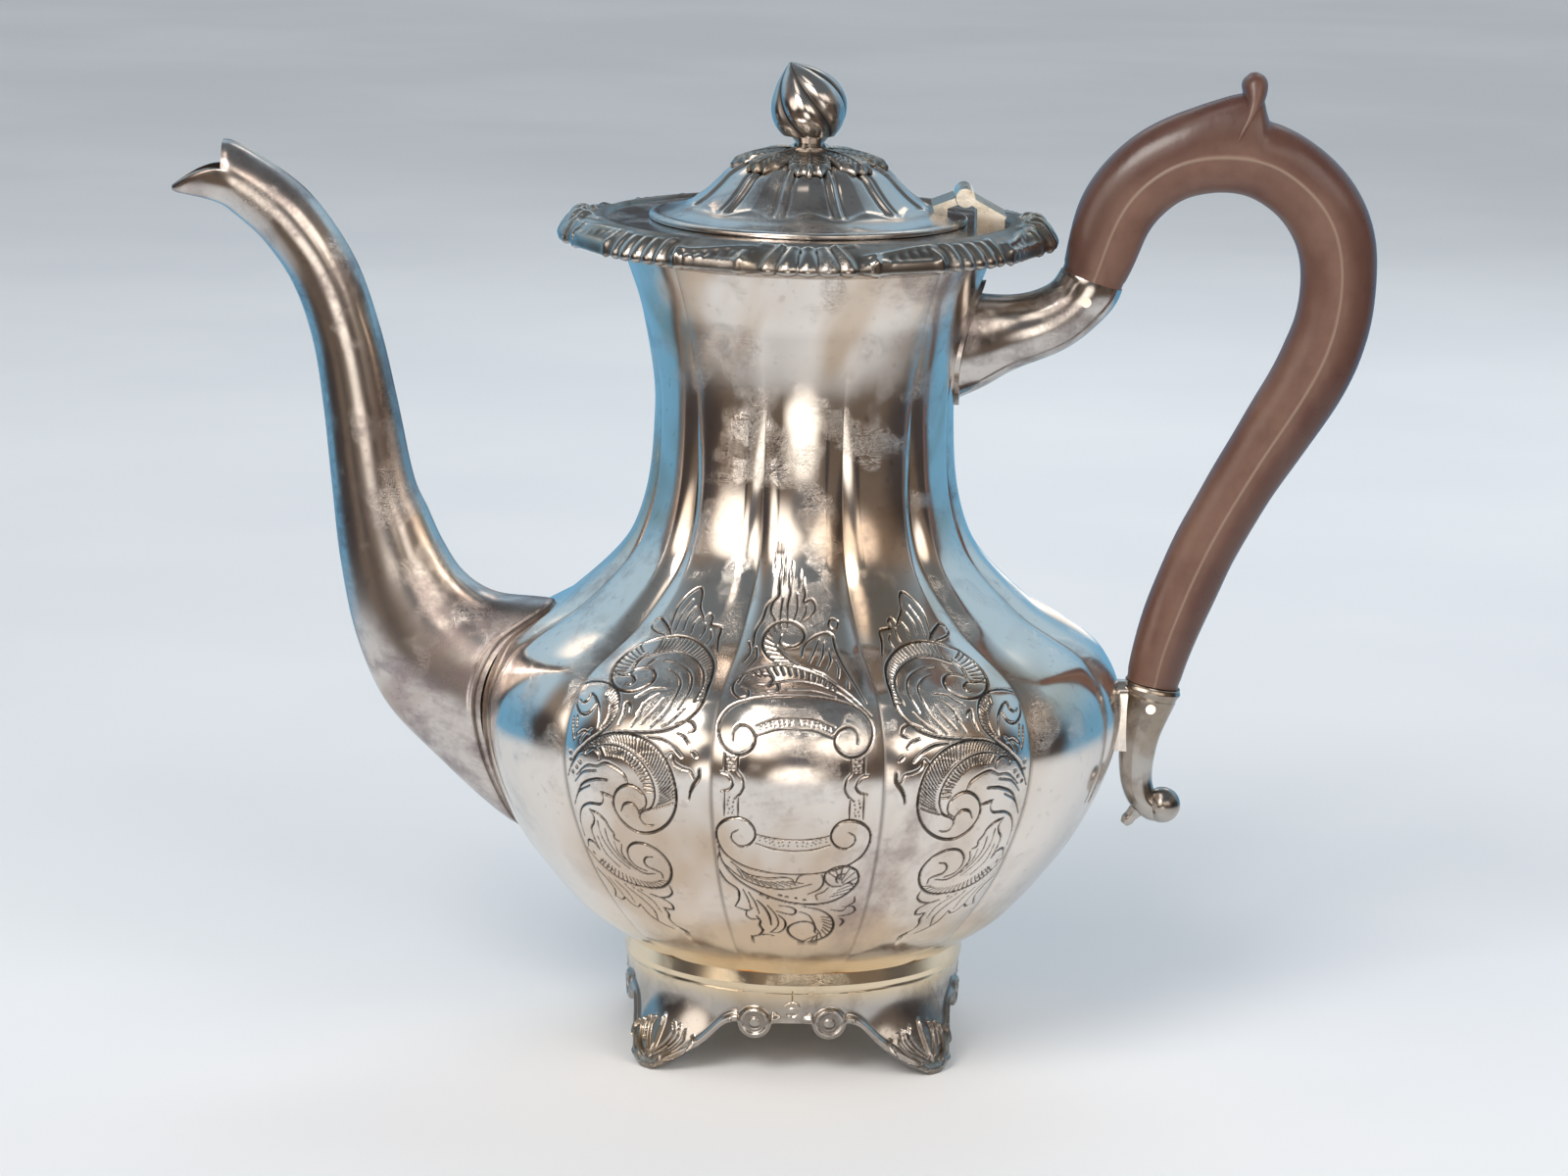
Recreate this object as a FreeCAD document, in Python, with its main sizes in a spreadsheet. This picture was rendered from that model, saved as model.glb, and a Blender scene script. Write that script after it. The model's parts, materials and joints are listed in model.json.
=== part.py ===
import FreeCAD, Part
import math
import os
import Sketcher

# Silver-plated coffee pot with a twelve-lobed body, swan-neck spout, hinged lid and composition handle.
# +Z is up, the handle points along +X, the spout along -X. The origin is on the body's axis at floor level.

Vector = FreeCAD.Vector
y_axis = Vector(0, 1, 0)
z_axis = Vector(0, 0, 1)

document = FreeCAD.newDocument("coffee_pot")
sizes = document.addObject("Spreadsheet::Sheet", "sizes")

dimensions = {
    # body shell: heights and crest radii of its outline
    "lobe_count": 12,
    "shell_wall": 1.0,
    "seat_height": 27.5,
    "seat_radius": 43.5,
    "underside_height": 38.0,
    "underside_radius": 57.7,
    "lower_belly_height": 60.0,
    "lower_belly_step": 8.9,
    "belly_height": 86.0,
    "belly_radius": 83.5,
    "shoulder_height": 104.0,
    "shoulder_step": 5.5,
    "shoulder_turn_height": 116.0,
    "shoulder_turn_radius": 59.5,
    "neck_root_height": 134.0,
    "neck_root_radius": 43.2,
    "waist_height": 165.0,
    "waist_radius": 38.2,
    "neck_flare_height": 190.0,
    "neck_flare_radius": 41.6,
    "mouth_height": 205.0,
    "mouth_radius": 46.5,
    "crease_depth": 2.6,
    # opening behind the spout and the pierced strainer in it
    "spout_opening_radius": 12.0,
    "strainer_lap": 2.5,
    "strainer_thickness": 0.8,
    "strainer_hole_radius": 1.5,
    "strainer_pitch": 5.0,
    # base and feet
    "base_disc_thickness": 1.0,
    "base_disc_clearance": 0.3,
    "collar_bottom": 23.2,
    "collar_radius": 44.0,
    "collar_step": 1.2,
    "collar_width": 4.0,
    "foot_wall": 2.0,
    "skirt_step": 0.4,
    "foot_skirt_radius": 42.3,
    "toe_reach": 52.4,
    "toe_gap_half": 29.0,
    "arch_half": 13.0,
    "arch_height": 14.2,
    "volute_radius": 4.0,
    "volute_offset": 9.3,
    "volute_stand": 1.2,
    # rim
    "flange_wall": 1.2,
    "flange_radius": 52.0,
    "flange_edge_rise": 2.0,
    "deck_rise": 8.8,
    "throat_radius": 39.8,
    "throat_depth": 6.5,
    "border_radius": 61.2,
    "border_scallop": 0.9,
    "border_thickness": 2.2,
    # lid
    "lid_gap": 0.2,
    "lid_wall": 1.0,
    "brim_lap": 0.7,
    "brim_radius": "=throat_radius + brim_lap",
    "brim_height": 1.3,
    "brim_width": 10.0,
    "dome_foot_radius": "=brim_radius - brim_width",
    "dome_foot_rise": 3.0,
    "dome_rise": 16.6,
    "dome_rib_rise": 0.45,
    "bezel_play": 1.4,
    "bezel_radius": "=throat_radius - bezel_play",
    "bezel_wall": 1.2,
    "bezel_depth": 4.0,
    # finial
    "leaf_reach": 20.0,
    "leaf_thickness": 1.2,
    "leaf_count": 8,
    "stem_radius": 5.0,
    "stem_neck_radius": 3.6,
    "stem_height": 3.4,
    "bud_length": 21.6,
    "bud_radius": 9.8,
    "bud_lean": 24.0,
    "bud_shift": 3.4,
    "stud_radius": 1.5,
    "stud_in_bud": 6.0,
    "stud_below_lid": 3.6,
    "washer_radius": 4.5,
    "washer_thickness": 0.8,
    "nut_radius": 3.2,
    "nut_thickness": 2.2,
    # lid hinge
    "hinge_setback": 0.3,
    "hinge_x": "=throat_radius - hinge_setback",
    "hinge_rise": 7.2,
    "hinge_width": 16.0,
    "knuckle_radius": 2.4,
    "knuckle_length": 5.4,
    "knuckle_gap": 0.2,
    "hinge_pin_radius": 0.9,
    "hinge_pin_clearance": 0.05,
    "leaf_plate": 1.8,
    "lid_leaf_length": 8.0,
    "rim_leaf_length": 10.0,
    "leaf_foot": 3.5,
    # spout
    "spout_wall": 1.0,
    # handle
    "grip_foot_height": 95.0,
    "grip_foot_beyond": 8.2,
    "grip_breadth_ratio": 0.84,
    "tenon_radius": 4.6,
    "tenon_length": 9.0,
    "tenon_clearance": 0.1,
    "socket_wall": 1.3,
    "socket_lip": 0.3,
    "handle_pin_radius": 1.3,
    "patch_thickness": 1.2,
    "patch_half_breadth": 10.0,
    "scroll_ball_radius": 5.0,
    "scroll_tail_radius": 2.0,
    "scroll_link_radius": 2.8,
    "strap_half_breadth": 3.5,
    "strap_length": 15.0,
    "thumb_scroll_radius": 3.3,
    "thumb_scroll_half_breadth": 5.0,
}

for row, (name, value) in enumerate(dimensions.items(), start=1):
    sizes.set(f"A{row}", name)
    sizes.set(f"B{row}", str(value))
    sizes.setAlias(f"B{row}", name)
document.recompute()


def size(expression):
    """value of a cell, or of an expression in cells"""
    return float(sizes.evalExpression(expression))


# ---------------------------------------------------------------- helpers

pieces = []


def feature(label, shape):
    """document object for a shape worked out with Part's functions"""
    item = document.addObject("Part::Feature", label)
    item.Label = label
    item.Shape = shape
    item.Placement = FreeCAD.Placement()
    pieces.append(item)
    return item


def cylinder(label, radius, height, base, axis=z_axis):
    """Part::Cylinder whose radius, height and base follow the sheet"""
    item = document.addObject("Part::Cylinder", label)
    item.Label = label
    item.setExpression("Radius", radius)
    item.setExpression("Height", height)
    item.Placement = FreeCAD.Placement(Vector(), FreeCAD.Rotation(z_axis, axis))
    for letter, expression in zip("xyz", base):
        item.setExpression(f"Placement.Base.{letter}", expression)
    return item


def turned(label, outline):
    """PartDesign body: a closed outline of (radius, height) expressions turned about Z"""
    body = document.addObject("PartDesign::Body", label)
    body.Label = label
    sketch = body.newObject("Sketcher::SketchObject", f"{label}_outline")
    plane = [part for part in body.Origin.OriginFeatures if part.Role == "XZ_Plane"][0]
    sketch.AttachmentSupport = [(plane, "")]
    sketch.MapMode = "FlatFace"
    corners = [Vector(size(radius), size(height), 0) for radius, height in outline]
    for start, end in zip(corners, corners[1:] + corners[:1]):
        sketch.addGeometry(Part.LineSegment(start, end))
    for index, (radius, height) in enumerate(outline):
        following = (index + 1) % len(outline)
        sketch.addConstraint(Sketcher.Constraint("Coincident", index, 2, following, 1))
        for kind, expression in (("DistanceX", radius), ("DistanceY", height)):
            number = sketch.addConstraint(Sketcher.Constraint(kind, -1, 1, index, 1, size(expression)))
            sketch.setExpression(f"Constraints[{number}]", expression)
    turning = body.newObject("PartDesign::Revolution", f"{label}_turning")
    turning.Profile = sketch
    turning.ReferenceAxis = (sketch, ["V_Axis"])
    turning.Angle = 360
    body.Tip = turning
    pieces.append(body)
    return body


def polar(radius, angle, height):
    return Vector(radius * math.cos(angle), radius * math.sin(angle), height)


def smooth(points, position):
    """smooth curve through (position, value) points, read at a position"""
    count = len(points)
    slopes = []
    for index in range(count):
        before = points[max(index - 1, 0)]
        after = points[min(index + 1, count - 1)]
        slopes.append((after[1] - before[1]) / (after[0] - before[0]))
    for index in range(count - 1):
        start, end = points[index], points[index + 1]
        if position <= end[0] or index == count - 2:
            break
    span = end[0] - start[0]
    share = (position - start[0]) / span
    rise = end[1] - start[1]
    tangent_start = slopes[index] * span - rise
    tangent_end = rise - slopes[index + 1] * span
    bend = share * (1 - share) * (tangent_start * (1 - share) + tangent_end * share)
    return start[1] + share * rise + bend


def lobed_wire(crest, depth, height):
    """closed ring of arcs, one for each lobe, with creases between the lobes"""
    lobes = int(size("sizes.lobe_count"))
    half = math.pi / lobes
    arcs = []
    for lobe in range(lobes):
        middle = 2 * half * lobe
        start = polar(crest - depth, middle - half, height)
        end = polar(crest - depth, middle + half, height)
        arcs.append(Part.Arc(start, polar(crest, middle, height), end).toShape())
    return Part.Wire(arcs)


def closed_curve(points):
    """smooth closed wire through points"""
    curve = Part.BSplineCurve()
    curve.interpolate(points, PeriodicFlag=True)
    return Part.Wire([curve.toShape()])


def loft(wires):
    return Part.makeLoft(wires, True, False)


def offset_outline(points, distance):
    """(radius, height) points moved inward along the outline's normal"""
    moved = []
    for index, (radius, height) in enumerate(points):
        before = points[max(index - 1, 0)]
        after = points[min(index + 1, len(points) - 1)]
        along = Vector(after[0] - before[0], after[1] - before[1], 0).normalize()
        moved.append((radius - distance * along.y, height + distance * along.x))
    return moved


def prism_across(points, half_breadth):
    """prism along Y on a closed polygon of (x, height) points"""
    corners = [Vector(x, -half_breadth, height) for x, height in points]
    face = Part.Face(Part.makePolygon(corners + corners[:1]))
    return face.extrude(y_axis * 2 * half_breadth)


def rod_across(x, height, radius, y_start, y_end):
    """cylinder along Y"""
    return Part.makeCylinder(radius, y_end - y_start, Vector(x, y_start, height), y_axis)


def oval(centre, normal, half_in_plane, half_breadth):
    """closed oval across a path in the XZ plane; normal lies in that plane, across the path"""
    points = []
    for step in range(12):
        angle = math.pi * step / 6
        points.append(centre + normal * half_in_plane * math.cos(angle) + y_axis * half_breadth * math.sin(angle))
    return closed_curve(points)


def path_normals(centres, first=None, last=None):
    """for each centre of a path in the XZ plane, the unit vector in that plane across the path"""
    normals = []
    for index, centre in enumerate(centres):
        along = centres[min(index + 1, len(centres) - 1)] - centres[max(index - 1, 0)]
        if index == 0 and first:
            along = first
        if index == len(centres) - 1 and last:
            along = last
        along = Vector(along.x, 0, along.z).normalize()
        normals.append(Vector(along.z, 0, -along.x))
    return normals


def tube(centres, halves, breadths, first=None, last=None):
    normals = path_normals(centres, first, last)
    return loft([oval(*section) for section in zip(centres, normals, halves, breadths)])


# ---------------------------------------------------------------- body shell

seat_height = size("sizes.seat_height")
mouth_height = size("sizes.mouth_height")
belly_height = size("sizes.belly_height")
belly_radius = size("sizes.belly_radius")

outline_points = [
    (seat_height, size("sizes.seat_radius")),
    (size("sizes.underside_height"), size("sizes.underside_radius")),
    (size("sizes.lower_belly_height"), size("sizes.belly_radius - sizes.lower_belly_step")),
    (belly_height, belly_radius),
    (size("sizes.shoulder_height"), size("sizes.belly_radius - sizes.shoulder_step")),
    (size("sizes.shoulder_turn_height"), size("sizes.shoulder_turn_radius")),
    (size("sizes.neck_root_height"), size("sizes.neck_root_radius")),
    (size("sizes.waist_height"), size("sizes.waist_radius")),
    (size("sizes.neck_flare_height"), size("sizes.neck_flare_radius")),
    (mouth_height, size("sizes.mouth_radius")),
]

# share of the full crease depth at heights up the body
crease_points = [
    (seat_height, 0.15),
    (size("sizes.lower_belly_height"), 0.6),
    (belly_height, 0.78),
    (size("sizes.shoulder_turn_height"), 1.0),
    (size("sizes.neck_root_height"), 0.8),
    (size("sizes.waist_height"), 0.25),
    (size("sizes.neck_flare_height"), 0.04),
    (mouth_height, 0.04),
]


def crest_radius(height):
    """radius of the lobes' crests"""
    return smooth(outline_points, height)


def crease_depth(height):
    return size("sizes.crease_depth") * smooth(crease_points, height)


def body_stations():
    """heights of the shell's sections: each outline point, and one or two between"""
    heights = []
    for (low, _), (high, _) in zip(outline_points, outline_points[1:]):
        heights += [low, low + (high - low) / 2]
    return heights + [mouth_height]


def body_solid(wall=0.0):
    """lobed solid inside the shell's outer skin, or inside its inner skin when a wall is given"""
    heights = body_stations()
    skin = offset_outline([(crest_radius(height), height) for height in heights], wall)
    wires = [lobed_wire(radius, crease_depth(height), place)
             for (radius, place), height in zip(skin, heights)]
    return loft(wires)


body_outer = body_solid()
body_inner = body_solid(size("sizes.shell_wall"))


def spout_opening(radius, start_x, length):
    """plug along X through the shell behind the spout"""
    return Part.makeCylinder(radius, length, Vector(start_x, 0, belly_height), Vector(1, 0, 0))


def body_shells():
    """the shell, made in a lower and an upper half that are soldered at the belly"""
    wall = size("sizes.shell_wall")
    bottom_opening = Part.makeCylinder(size("sizes.seat_radius") - 2 * wall, 4 * wall, Vector(0, 0, seat_height))
    top_opening = Part.makeCylinder(size("sizes.mouth_radius") - 2 * wall, 4 * wall,
                                    Vector(0, 0, mouth_height - 3 * wall))
    pouring = spout_opening(size("sizes.spout_opening_radius"), -2 * belly_radius, 2 * belly_radius)
    shell = body_outer.cut([body_inner, bottom_opening, top_opening, pouring])
    reach = 4 * belly_radius
    corner = Vector(-reach / 2, -reach / 2, belly_height - reach)
    lower = shell.common(Part.makeBox(reach, reach, reach, corner))
    upper = shell.common(Part.makeBox(reach, reach, reach, corner + z_axis * reach))
    return lower.Solids[0], upper.Solids[0]


def spout_strainer():
    """pierced plate that lies against the inside of the shell, over the spout's opening"""
    thickness = size("sizes.strainer_thickness")
    pitch = size("sizes.strainer_pitch")
    wall = size("sizes.shell_wall")
    around = spout_opening(size("sizes.spout_opening_radius + sizes.strainer_lap"), -2 * belly_radius,
                           2 * belly_radius)
    plate = body_inner.cut(body_solid(wall + thickness)).common(around)
    holes = []
    reach = size("sizes.spout_opening_radius - sizes.strainer_hole_radius")
    for row in range(-2, 3):
        for column in range(-3, 4):
            y = (column + (row % 2) / 2) * pitch
            up = row * pitch * math.sin(math.pi / 3)
            if math.hypot(y, up) < reach:
                start = Vector(-2 * belly_radius, y, belly_height + up)
                holes.append(Part.makeCylinder(size("sizes.strainer_hole_radius"), 2 * belly_radius, start,
                                               Vector(1, 0, 0)))
    return plate.cut(holes).Solids[0]


lower_shell, upper_shell = body_shells()
feature("body_lower_shell", lower_shell)
feature("body_upper_shell", upper_shell)
feature("spout_strainer", spout_strainer())

# ---------------------------------------------------------------- base and feet

base_disc = cylinder(
    "base_disc",
    "sizes.seat_radius - 2 * sizes.shell_wall - sizes.base_disc_clearance",
    "sizes.base_disc_thickness",
    ("0", "0", "sizes.seat_height"),
)
pieces.append(base_disc)

turned("foot_collar", [
    ("sizes.collar_radius - sizes.collar_width", "sizes.collar_bottom"),
    ("sizes.collar_radius", "sizes.collar_bottom"),
    ("sizes.collar_radius", "sizes.collar_bottom + sizes.collar_step"),
    ("sizes.seat_radius", "sizes.seat_height"),
    ("sizes.collar_radius - sizes.collar_width", "sizes.seat_height"),
])


def foot_wire(skirt, toe, height):
    """ring that bulges from the skirt's radius to the toe's radius on the four diagonals"""
    points = []
    for step in range(48):
        angle = math.pi * step / 24
        bulge = ((1 - math.cos(4 * angle)) / 2) ** 1.4
        points.append(polar(skirt + (toe - skirt) * bulge, angle, height))
    return closed_curve(points)


def foot_skirt(inset):
    """flaring skirt down to the floor, or its hollow when an inset is given"""
    top = size("sizes.collar_bottom")
    collar = size("sizes.collar_radius - sizes.skirt_step") - inset
    skirt = size("sizes.foot_skirt_radius") - inset
    toe = size("sizes.toe_reach") - inset
    flare = [(1.0, 0.0), (0.75, 0.14), (0.5, 0.36), (0.25, 0.68), (0.08, 0.97), (0.0, 1.0)]
    wires = []
    for rise, reach in flare:
        base = skirt + (collar - skirt) * rise ** 3
        wires.append(foot_wire(base, base + (toe - skirt) * reach, top * rise))
    return loft(wires)


def arch_tunnel():
    """opening between two toes, straight through along Y"""
    gap = size("sizes.toe_gap_half")
    half = size("sizes.arch_half")
    crown = size("sizes.arch_height")
    reach = 2 * size("sizes.toe_reach")
    rise = [(0, 0), (0.12, 0.1), (0.45, 0.5), (0.75, 0.86), (1, 1)]
    points = [Vector(gap + (half - gap) * across, -reach, crown * up) for across, up in rise]
    right = Part.BSplineCurve()
    right.interpolate(points)
    left = Part.BSplineCurve()
    left.interpolate([Vector(-point.x, point.y, point.z) for point in points])
    top = Part.LineSegment(points[-1], Vector(-half, -reach, crown))
    corners = [points[0], Vector(gap, -reach, -crown), Vector(-gap, -reach, -crown), Vector(-gap, -reach, 0)]
    edges = [right.toShape(), top.toShape(), left.toShape(), Part.makePolygon(corners)]
    wire = Part.Wire(Part.__sortEdges__([edge for shape in edges for edge in shape.Edges]))
    return Part.Face(wire).extrude(y_axis * 2 * reach)


def volute(side):
    """round scroll boss that ends the arch's moulding on the Y- side, left or right"""
    x = side * size("sizes.volute_offset")
    radius = size("sizes.volute_radius")
    wall = size("sizes.foot_wall")
    front = -math.sqrt(size("sizes.foot_skirt_radius") ** 2 - x * x) - size("sizes.volute_stand")
    return rod_across(x, size("sizes.arch_height"), radius, front, front + wall + 2 * size("sizes.volute_stand"))


def quarter_turn(shape, turns):
    turned_shape = shape.copy()
    turned_shape.rotate(Vector(), z_axis, 90 * turns)
    return turned_shape


def foot_quadrants():
    """the cast ring of feet, parted at the arch centres"""
    tunnel = arch_tunnel()
    ring = foot_skirt(0).cut(foot_skirt(size("sizes.foot_wall")))
    ring = ring.cut([tunnel, quarter_turn(tunnel, 1)])
    for turns in range(4):
        ring = ring.fuse([quarter_turn(volute(side), turns) for side in (-1, 1)])
    reach = 2 * size("sizes.toe_reach")
    quadrants = []
    for turns in range(4):
        block = Part.makeBox(reach, reach, reach, Vector(0, -reach, 0))
        quadrant = ring.common(quarter_turn(block, turns))
        quadrants.append(max(quadrant.Solids, key=lambda solid: solid.Volume))
    return quadrants


foot_names = ["foot_front_right", "foot_back_right", "foot_back_left", "foot_front_left"]
for name, quadrant in zip(foot_names, foot_quadrants()):
    feature(name, quadrant)

# ---------------------------------------------------------------- rim

deck = "sizes.mouth_height + sizes.deck_rise"
under_deck = f"{deck} - sizes.flange_wall"
flange_edge = "sizes.mouth_height + sizes.flange_edge_rise"
throat_bottom = f"{deck} - sizes.throat_depth"

turned("rim_flange", [
    ("sizes.mouth_radius - sizes.flange_wall", "sizes.mouth_height"),
    ("sizes.mouth_radius", "sizes.mouth_height"),
    ("sizes.flange_radius", flange_edge),
    ("sizes.flange_radius", deck),
    ("sizes.throat_radius", deck),
    ("sizes.throat_radius", throat_bottom),
    ("sizes.throat_radius + sizes.flange_wall", throat_bottom),
    ("sizes.throat_radius + sizes.flange_wall", under_deck),
    ("sizes.flange_radius - sizes.flange_wall", under_deck),
    ("sizes.flange_radius - sizes.flange_wall", f"{flange_edge} + sizes.flange_wall / 2"),
    ("sizes.mouth_radius - sizes.flange_wall", "sizes.mouth_height + sizes.flange_wall"),
])


def rim_border():
    """cast moulding round the flange, with a lobed outer edge"""
    inner = size("sizes.flange_radius")
    outer = size("sizes.border_radius")
    scallop = size("sizes.border_scallop")
    thickness = size("sizes.border_thickness")
    top = size(deck)
    bottom = size(flange_edge)
    fullest = outer + 2 * scallop
    width = fullest - inner
    over = [(0, 0), (0.25, 0.9), (0.55, 0.5), (0.85, -1.6), (1, -4.3), (0.97, -6)]
    skin = [(inner + width * share, top + rise) for share, rise in over]
    under = offset_outline(skin, -thickness)[::-1]
    under[-1] = (inner, top - thickness)
    corners = [Vector(radius, 0, max(height, bottom - thickness / 4)) for radius, height in skin]
    corners += [Vector(radius, 0, height) for radius, height in under]
    ring = Part.Face(Part.makePolygon(corners + corners[:1])).revolve(Vector(), z_axis, 360)
    edge = []
    for step in range(96):
        angle = math.pi * step / 48
        swell = math.cos(4 * angle) + 0.5 * math.cos(8 * angle)
        edge.append(polar(outer + scallop * swell, angle, bottom - 2 * thickness))
    cutter = Part.Face(closed_curve(edge)).extrude(z_axis * (top - bottom + 4 * thickness))
    return ring.common(cutter).Solids[0]


feature("rim_border", rim_border())

# ---------------------------------------------------------------- lid

lid_seat = f"{deck} + sizes.lid_gap"


def dome_outline():
    """(radius, height) of the lid's outer skin from brim to crown"""
    seat = size(lid_seat)
    brim = size("sizes.brim_radius")
    foot = size("sizes.dome_foot_radius")
    foot_rise = size("sizes.dome_foot_rise")
    rise = size("sizes.dome_rise")
    body = rise - foot_rise
    return [
        (brim, seat + size("sizes.brim_height")),
        ((brim + foot) / 2, seat + foot_rise * 0.62),
        (foot, seat + foot_rise),
        (foot * 0.86, seat + foot_rise + body * 0.2),
        (foot * 0.77, seat + foot_rise + body * 0.42),
        (foot * 0.67, seat + foot_rise + body * 0.66),
        (foot * 0.5, seat + foot_rise + body * 0.86),
        (foot * 0.27, seat + foot_rise + body * 0.96),
        (foot * 0.06, seat + rise),
    ]


def dome_solid(lift, bottom):
    """solid under the lid's skin moved out by lift, closed at the bottom height"""
    ribs = [0, 0, 0.4, 1, 1, 1, 0.7, 0.3, 0]
    skin = offset_outline(dome_outline(), -lift)
    wires = [lobed_wire(skin[0][0], 0, bottom)]
    for (radius, height), share in zip(skin, ribs):
        wires.append(lobed_wire(radius, -share * size("sizes.dome_rib_rise"), height))
    brim_band = loft(wires[:2])
    return brim_band.fuse(loft(wires[1:])).removeSplitter()


dome_outer = dome_solid(0, size(lid_seat))


def lid_dome():
    wall = size("sizes.lid_wall")
    seat = size(lid_seat)
    hollow = dome_solid(-wall, seat - wall)
    inside = Part.makeCylinder(size("sizes.bezel_radius"), size("sizes.dome_rise"), Vector(0, 0, seat - wall))
    dome = dome_outer.cut(hollow.common(inside))
    bore = Part.makeCylinder(size("sizes.stud_radius"), 2 * size("sizes.dome_rise"), Vector(0, 0, seat))
    return dome.cut(bore).Solids[0]


feature("lid_dome", lid_dome())

turned("lid_bezel", [
    ("sizes.bezel_radius - sizes.bezel_wall", f"{lid_seat} - sizes.bezel_depth"),
    ("sizes.bezel_radius", f"{lid_seat} - sizes.bezel_depth"),
    ("sizes.bezel_radius", f"{lid_seat} + sizes.brim_height / 2"),
    ("sizes.bezel_radius - sizes.bezel_wall", f"{lid_seat} + sizes.brim_height / 2"),
])

# ---------------------------------------------------------------- finial

crown = f"{lid_seat} + sizes.dome_rise"


def finial_leaves():
    """rosette of leaves lying on the crown"""
    reach = size("sizes.leaf_reach")
    count = int(size("sizes.leaf_count"))
    thickness = size("sizes.leaf_thickness")
    seat = size(lid_seat)
    edge = []
    for step in range(count * 8):
        angle = 2 * math.pi * step / (count * 8)
        notch = abs(math.sin(count * angle / 2)) ** 3
        edge.append(polar(reach * (1 - 0.2 * notch), angle, seat))
    rosette = Part.Face(closed_curve(edge)).extrude(z_axis * 2 * size("sizes.dome_rise"))
    sheet = dome_solid(thickness, seat).cut(dome_outer)
    bore = Part.makeCylinder(size("sizes.stud_radius"), 3 * size("sizes.dome_rise"), Vector(0, 0, seat))
    leaves = sheet.common(rosette).cut(bore)
    return max(leaves.Solids, key=lambda solid: solid.Volume)


feature("finial_leaves", finial_leaves())

stem_bottom = f"{crown} + sizes.leaf_thickness"
stem_top = f"{stem_bottom} + sizes.stem_height"

turned("finial_stem", [
    ("sizes.stud_radius", stem_bottom),
    ("sizes.stem_radius", stem_bottom),
    ("sizes.stem_radius", f"{stem_bottom} + sizes.stem_height / 5"),
    ("sizes.stem_neck_radius", f"{stem_bottom} + sizes.stem_height / 2"),
    ("sizes.stem_radius", stem_top),
    ("sizes.stud_radius", stem_top),
])


def finial_bud():
    """leaning spindle with a pointed tip, cut flat on the stem and bored for the stud"""
    length = size("sizes.bud_length")
    radius = size("sizes.bud_radius")
    swell = [(0, 0.3), (0.08, 0.6), (0.22, 0.88), (0.42, 1), (0.62, 0.89), (0.82, 0.55), (0.95, 0.2)]
    points = [Vector(radius * wide, 0, length * up) for up, wide in swell] + [Vector(0, 0, length)]
    side = Part.BSplineCurve()
    side.interpolate(points)
    base = Part.LineSegment(Vector(), points[0])
    axis = Part.LineSegment(points[-1], Vector())
    half = Part.Face(Part.Wire([base.toShape(), side.toShape(), axis.toShape()]))
    bud = half.revolve(Vector(), z_axis, 360)
    bud.rotate(Vector(), y_axis, -size("sizes.bud_lean"))
    top = size(stem_top)
    bud.translate(Vector(size("sizes.bud_shift"), 0, top - radius / 7))
    below = Part.makeCylinder(radius, radius, Vector(0, 0, top - radius))
    bore = Part.makeCylinder(size("sizes.stud_radius"), size("sizes.stud_in_bud"), Vector(0, 0, top))
    return bud.cut([below, bore]).Solids[0]


feature("finial_bud", finial_bud())

under_crown = f"{crown} - sizes.lid_wall"
pieces.append(cylinder(
    "finial_stud",
    "sizes.stud_radius",
    f"{stem_top} + sizes.stud_in_bud - ({under_crown}) + sizes.stud_below_lid",
    ("0", "0", f"{under_crown} - sizes.stud_below_lid"),
))


def ringed(label, outer, thickness, bottom):
    """a solid with the stud's hole through it"""
    hole = cylinder(f"{label}_hole", "sizes.stud_radius", thickness, ("0", "0", bottom))
    cut = document.addObject("Part::Cut", label)
    cut.Label = label
    cut.Base = outer
    cut.Tool = hole
    pieces.append(cut)


washer_bottom = f"{under_crown} - sizes.dome_rib_rise - sizes.washer_thickness"
washer_blank = cylinder("washer_blank", "sizes.washer_radius", "sizes.washer_thickness", ("0", "0", washer_bottom))
ringed("finial_washer", washer_blank, "sizes.washer_thickness", washer_bottom)

nut_bottom = f"{washer_bottom} - sizes.nut_thickness"
nut_blank = document.addObject("Part::Prism", "nut_blank")
nut_blank.Polygon = 6
nut_blank.setExpression("Circumradius", "sizes.nut_radius")
nut_blank.setExpression("Height", "sizes.nut_thickness")
nut_blank.setExpression("Placement.Base.z", nut_bottom)
ringed("finial_nut", nut_blank, "sizes.nut_thickness", nut_bottom)

# ---------------------------------------------------------------- lid hinge

hinge_x = size("sizes.hinge_x")
hinge_height = size(f"{deck} + sizes.hinge_rise")
hinge_half = size("sizes.hinge_width") / 2
knuckle_half = size("sizes.knuckle_length") / 2
knuckle_radius = size("sizes.knuckle_radius")
knuckle_gap = size("sizes.knuckle_gap")
plate = size("sizes.leaf_plate")


def leaf_blank(end_x, end_height, foot_x, foot_height):
    """plate from the hinge axis to its end, with a foot down to the surface it is soldered to"""
    along = Vector(end_x - hinge_x, 0, end_height - hinge_height).normalize()
    up = Vector(-along.z, 0, along.x) * (plate / 2)
    if up.z < 0:
        up = up * -1
    hinge = Vector(hinge_x, 0, hinge_height)
    end = Vector(end_x, 0, end_height)
    corners = [hinge + up, end + up, end - up, hinge - up]
    sheet = prism_across([(corner.x, corner.z) for corner in corners], hinge_half)
    foot = prism_across([
        (end_x, end_height),
        (end_x, foot_height),
        (foot_x, foot_height),
        (foot_x, hinge_height + (end_height - hinge_height) * (foot_x - hinge_x) / (end_x - hinge_x)),
    ], hinge_half)
    return sheet.fuse(foot)


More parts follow.
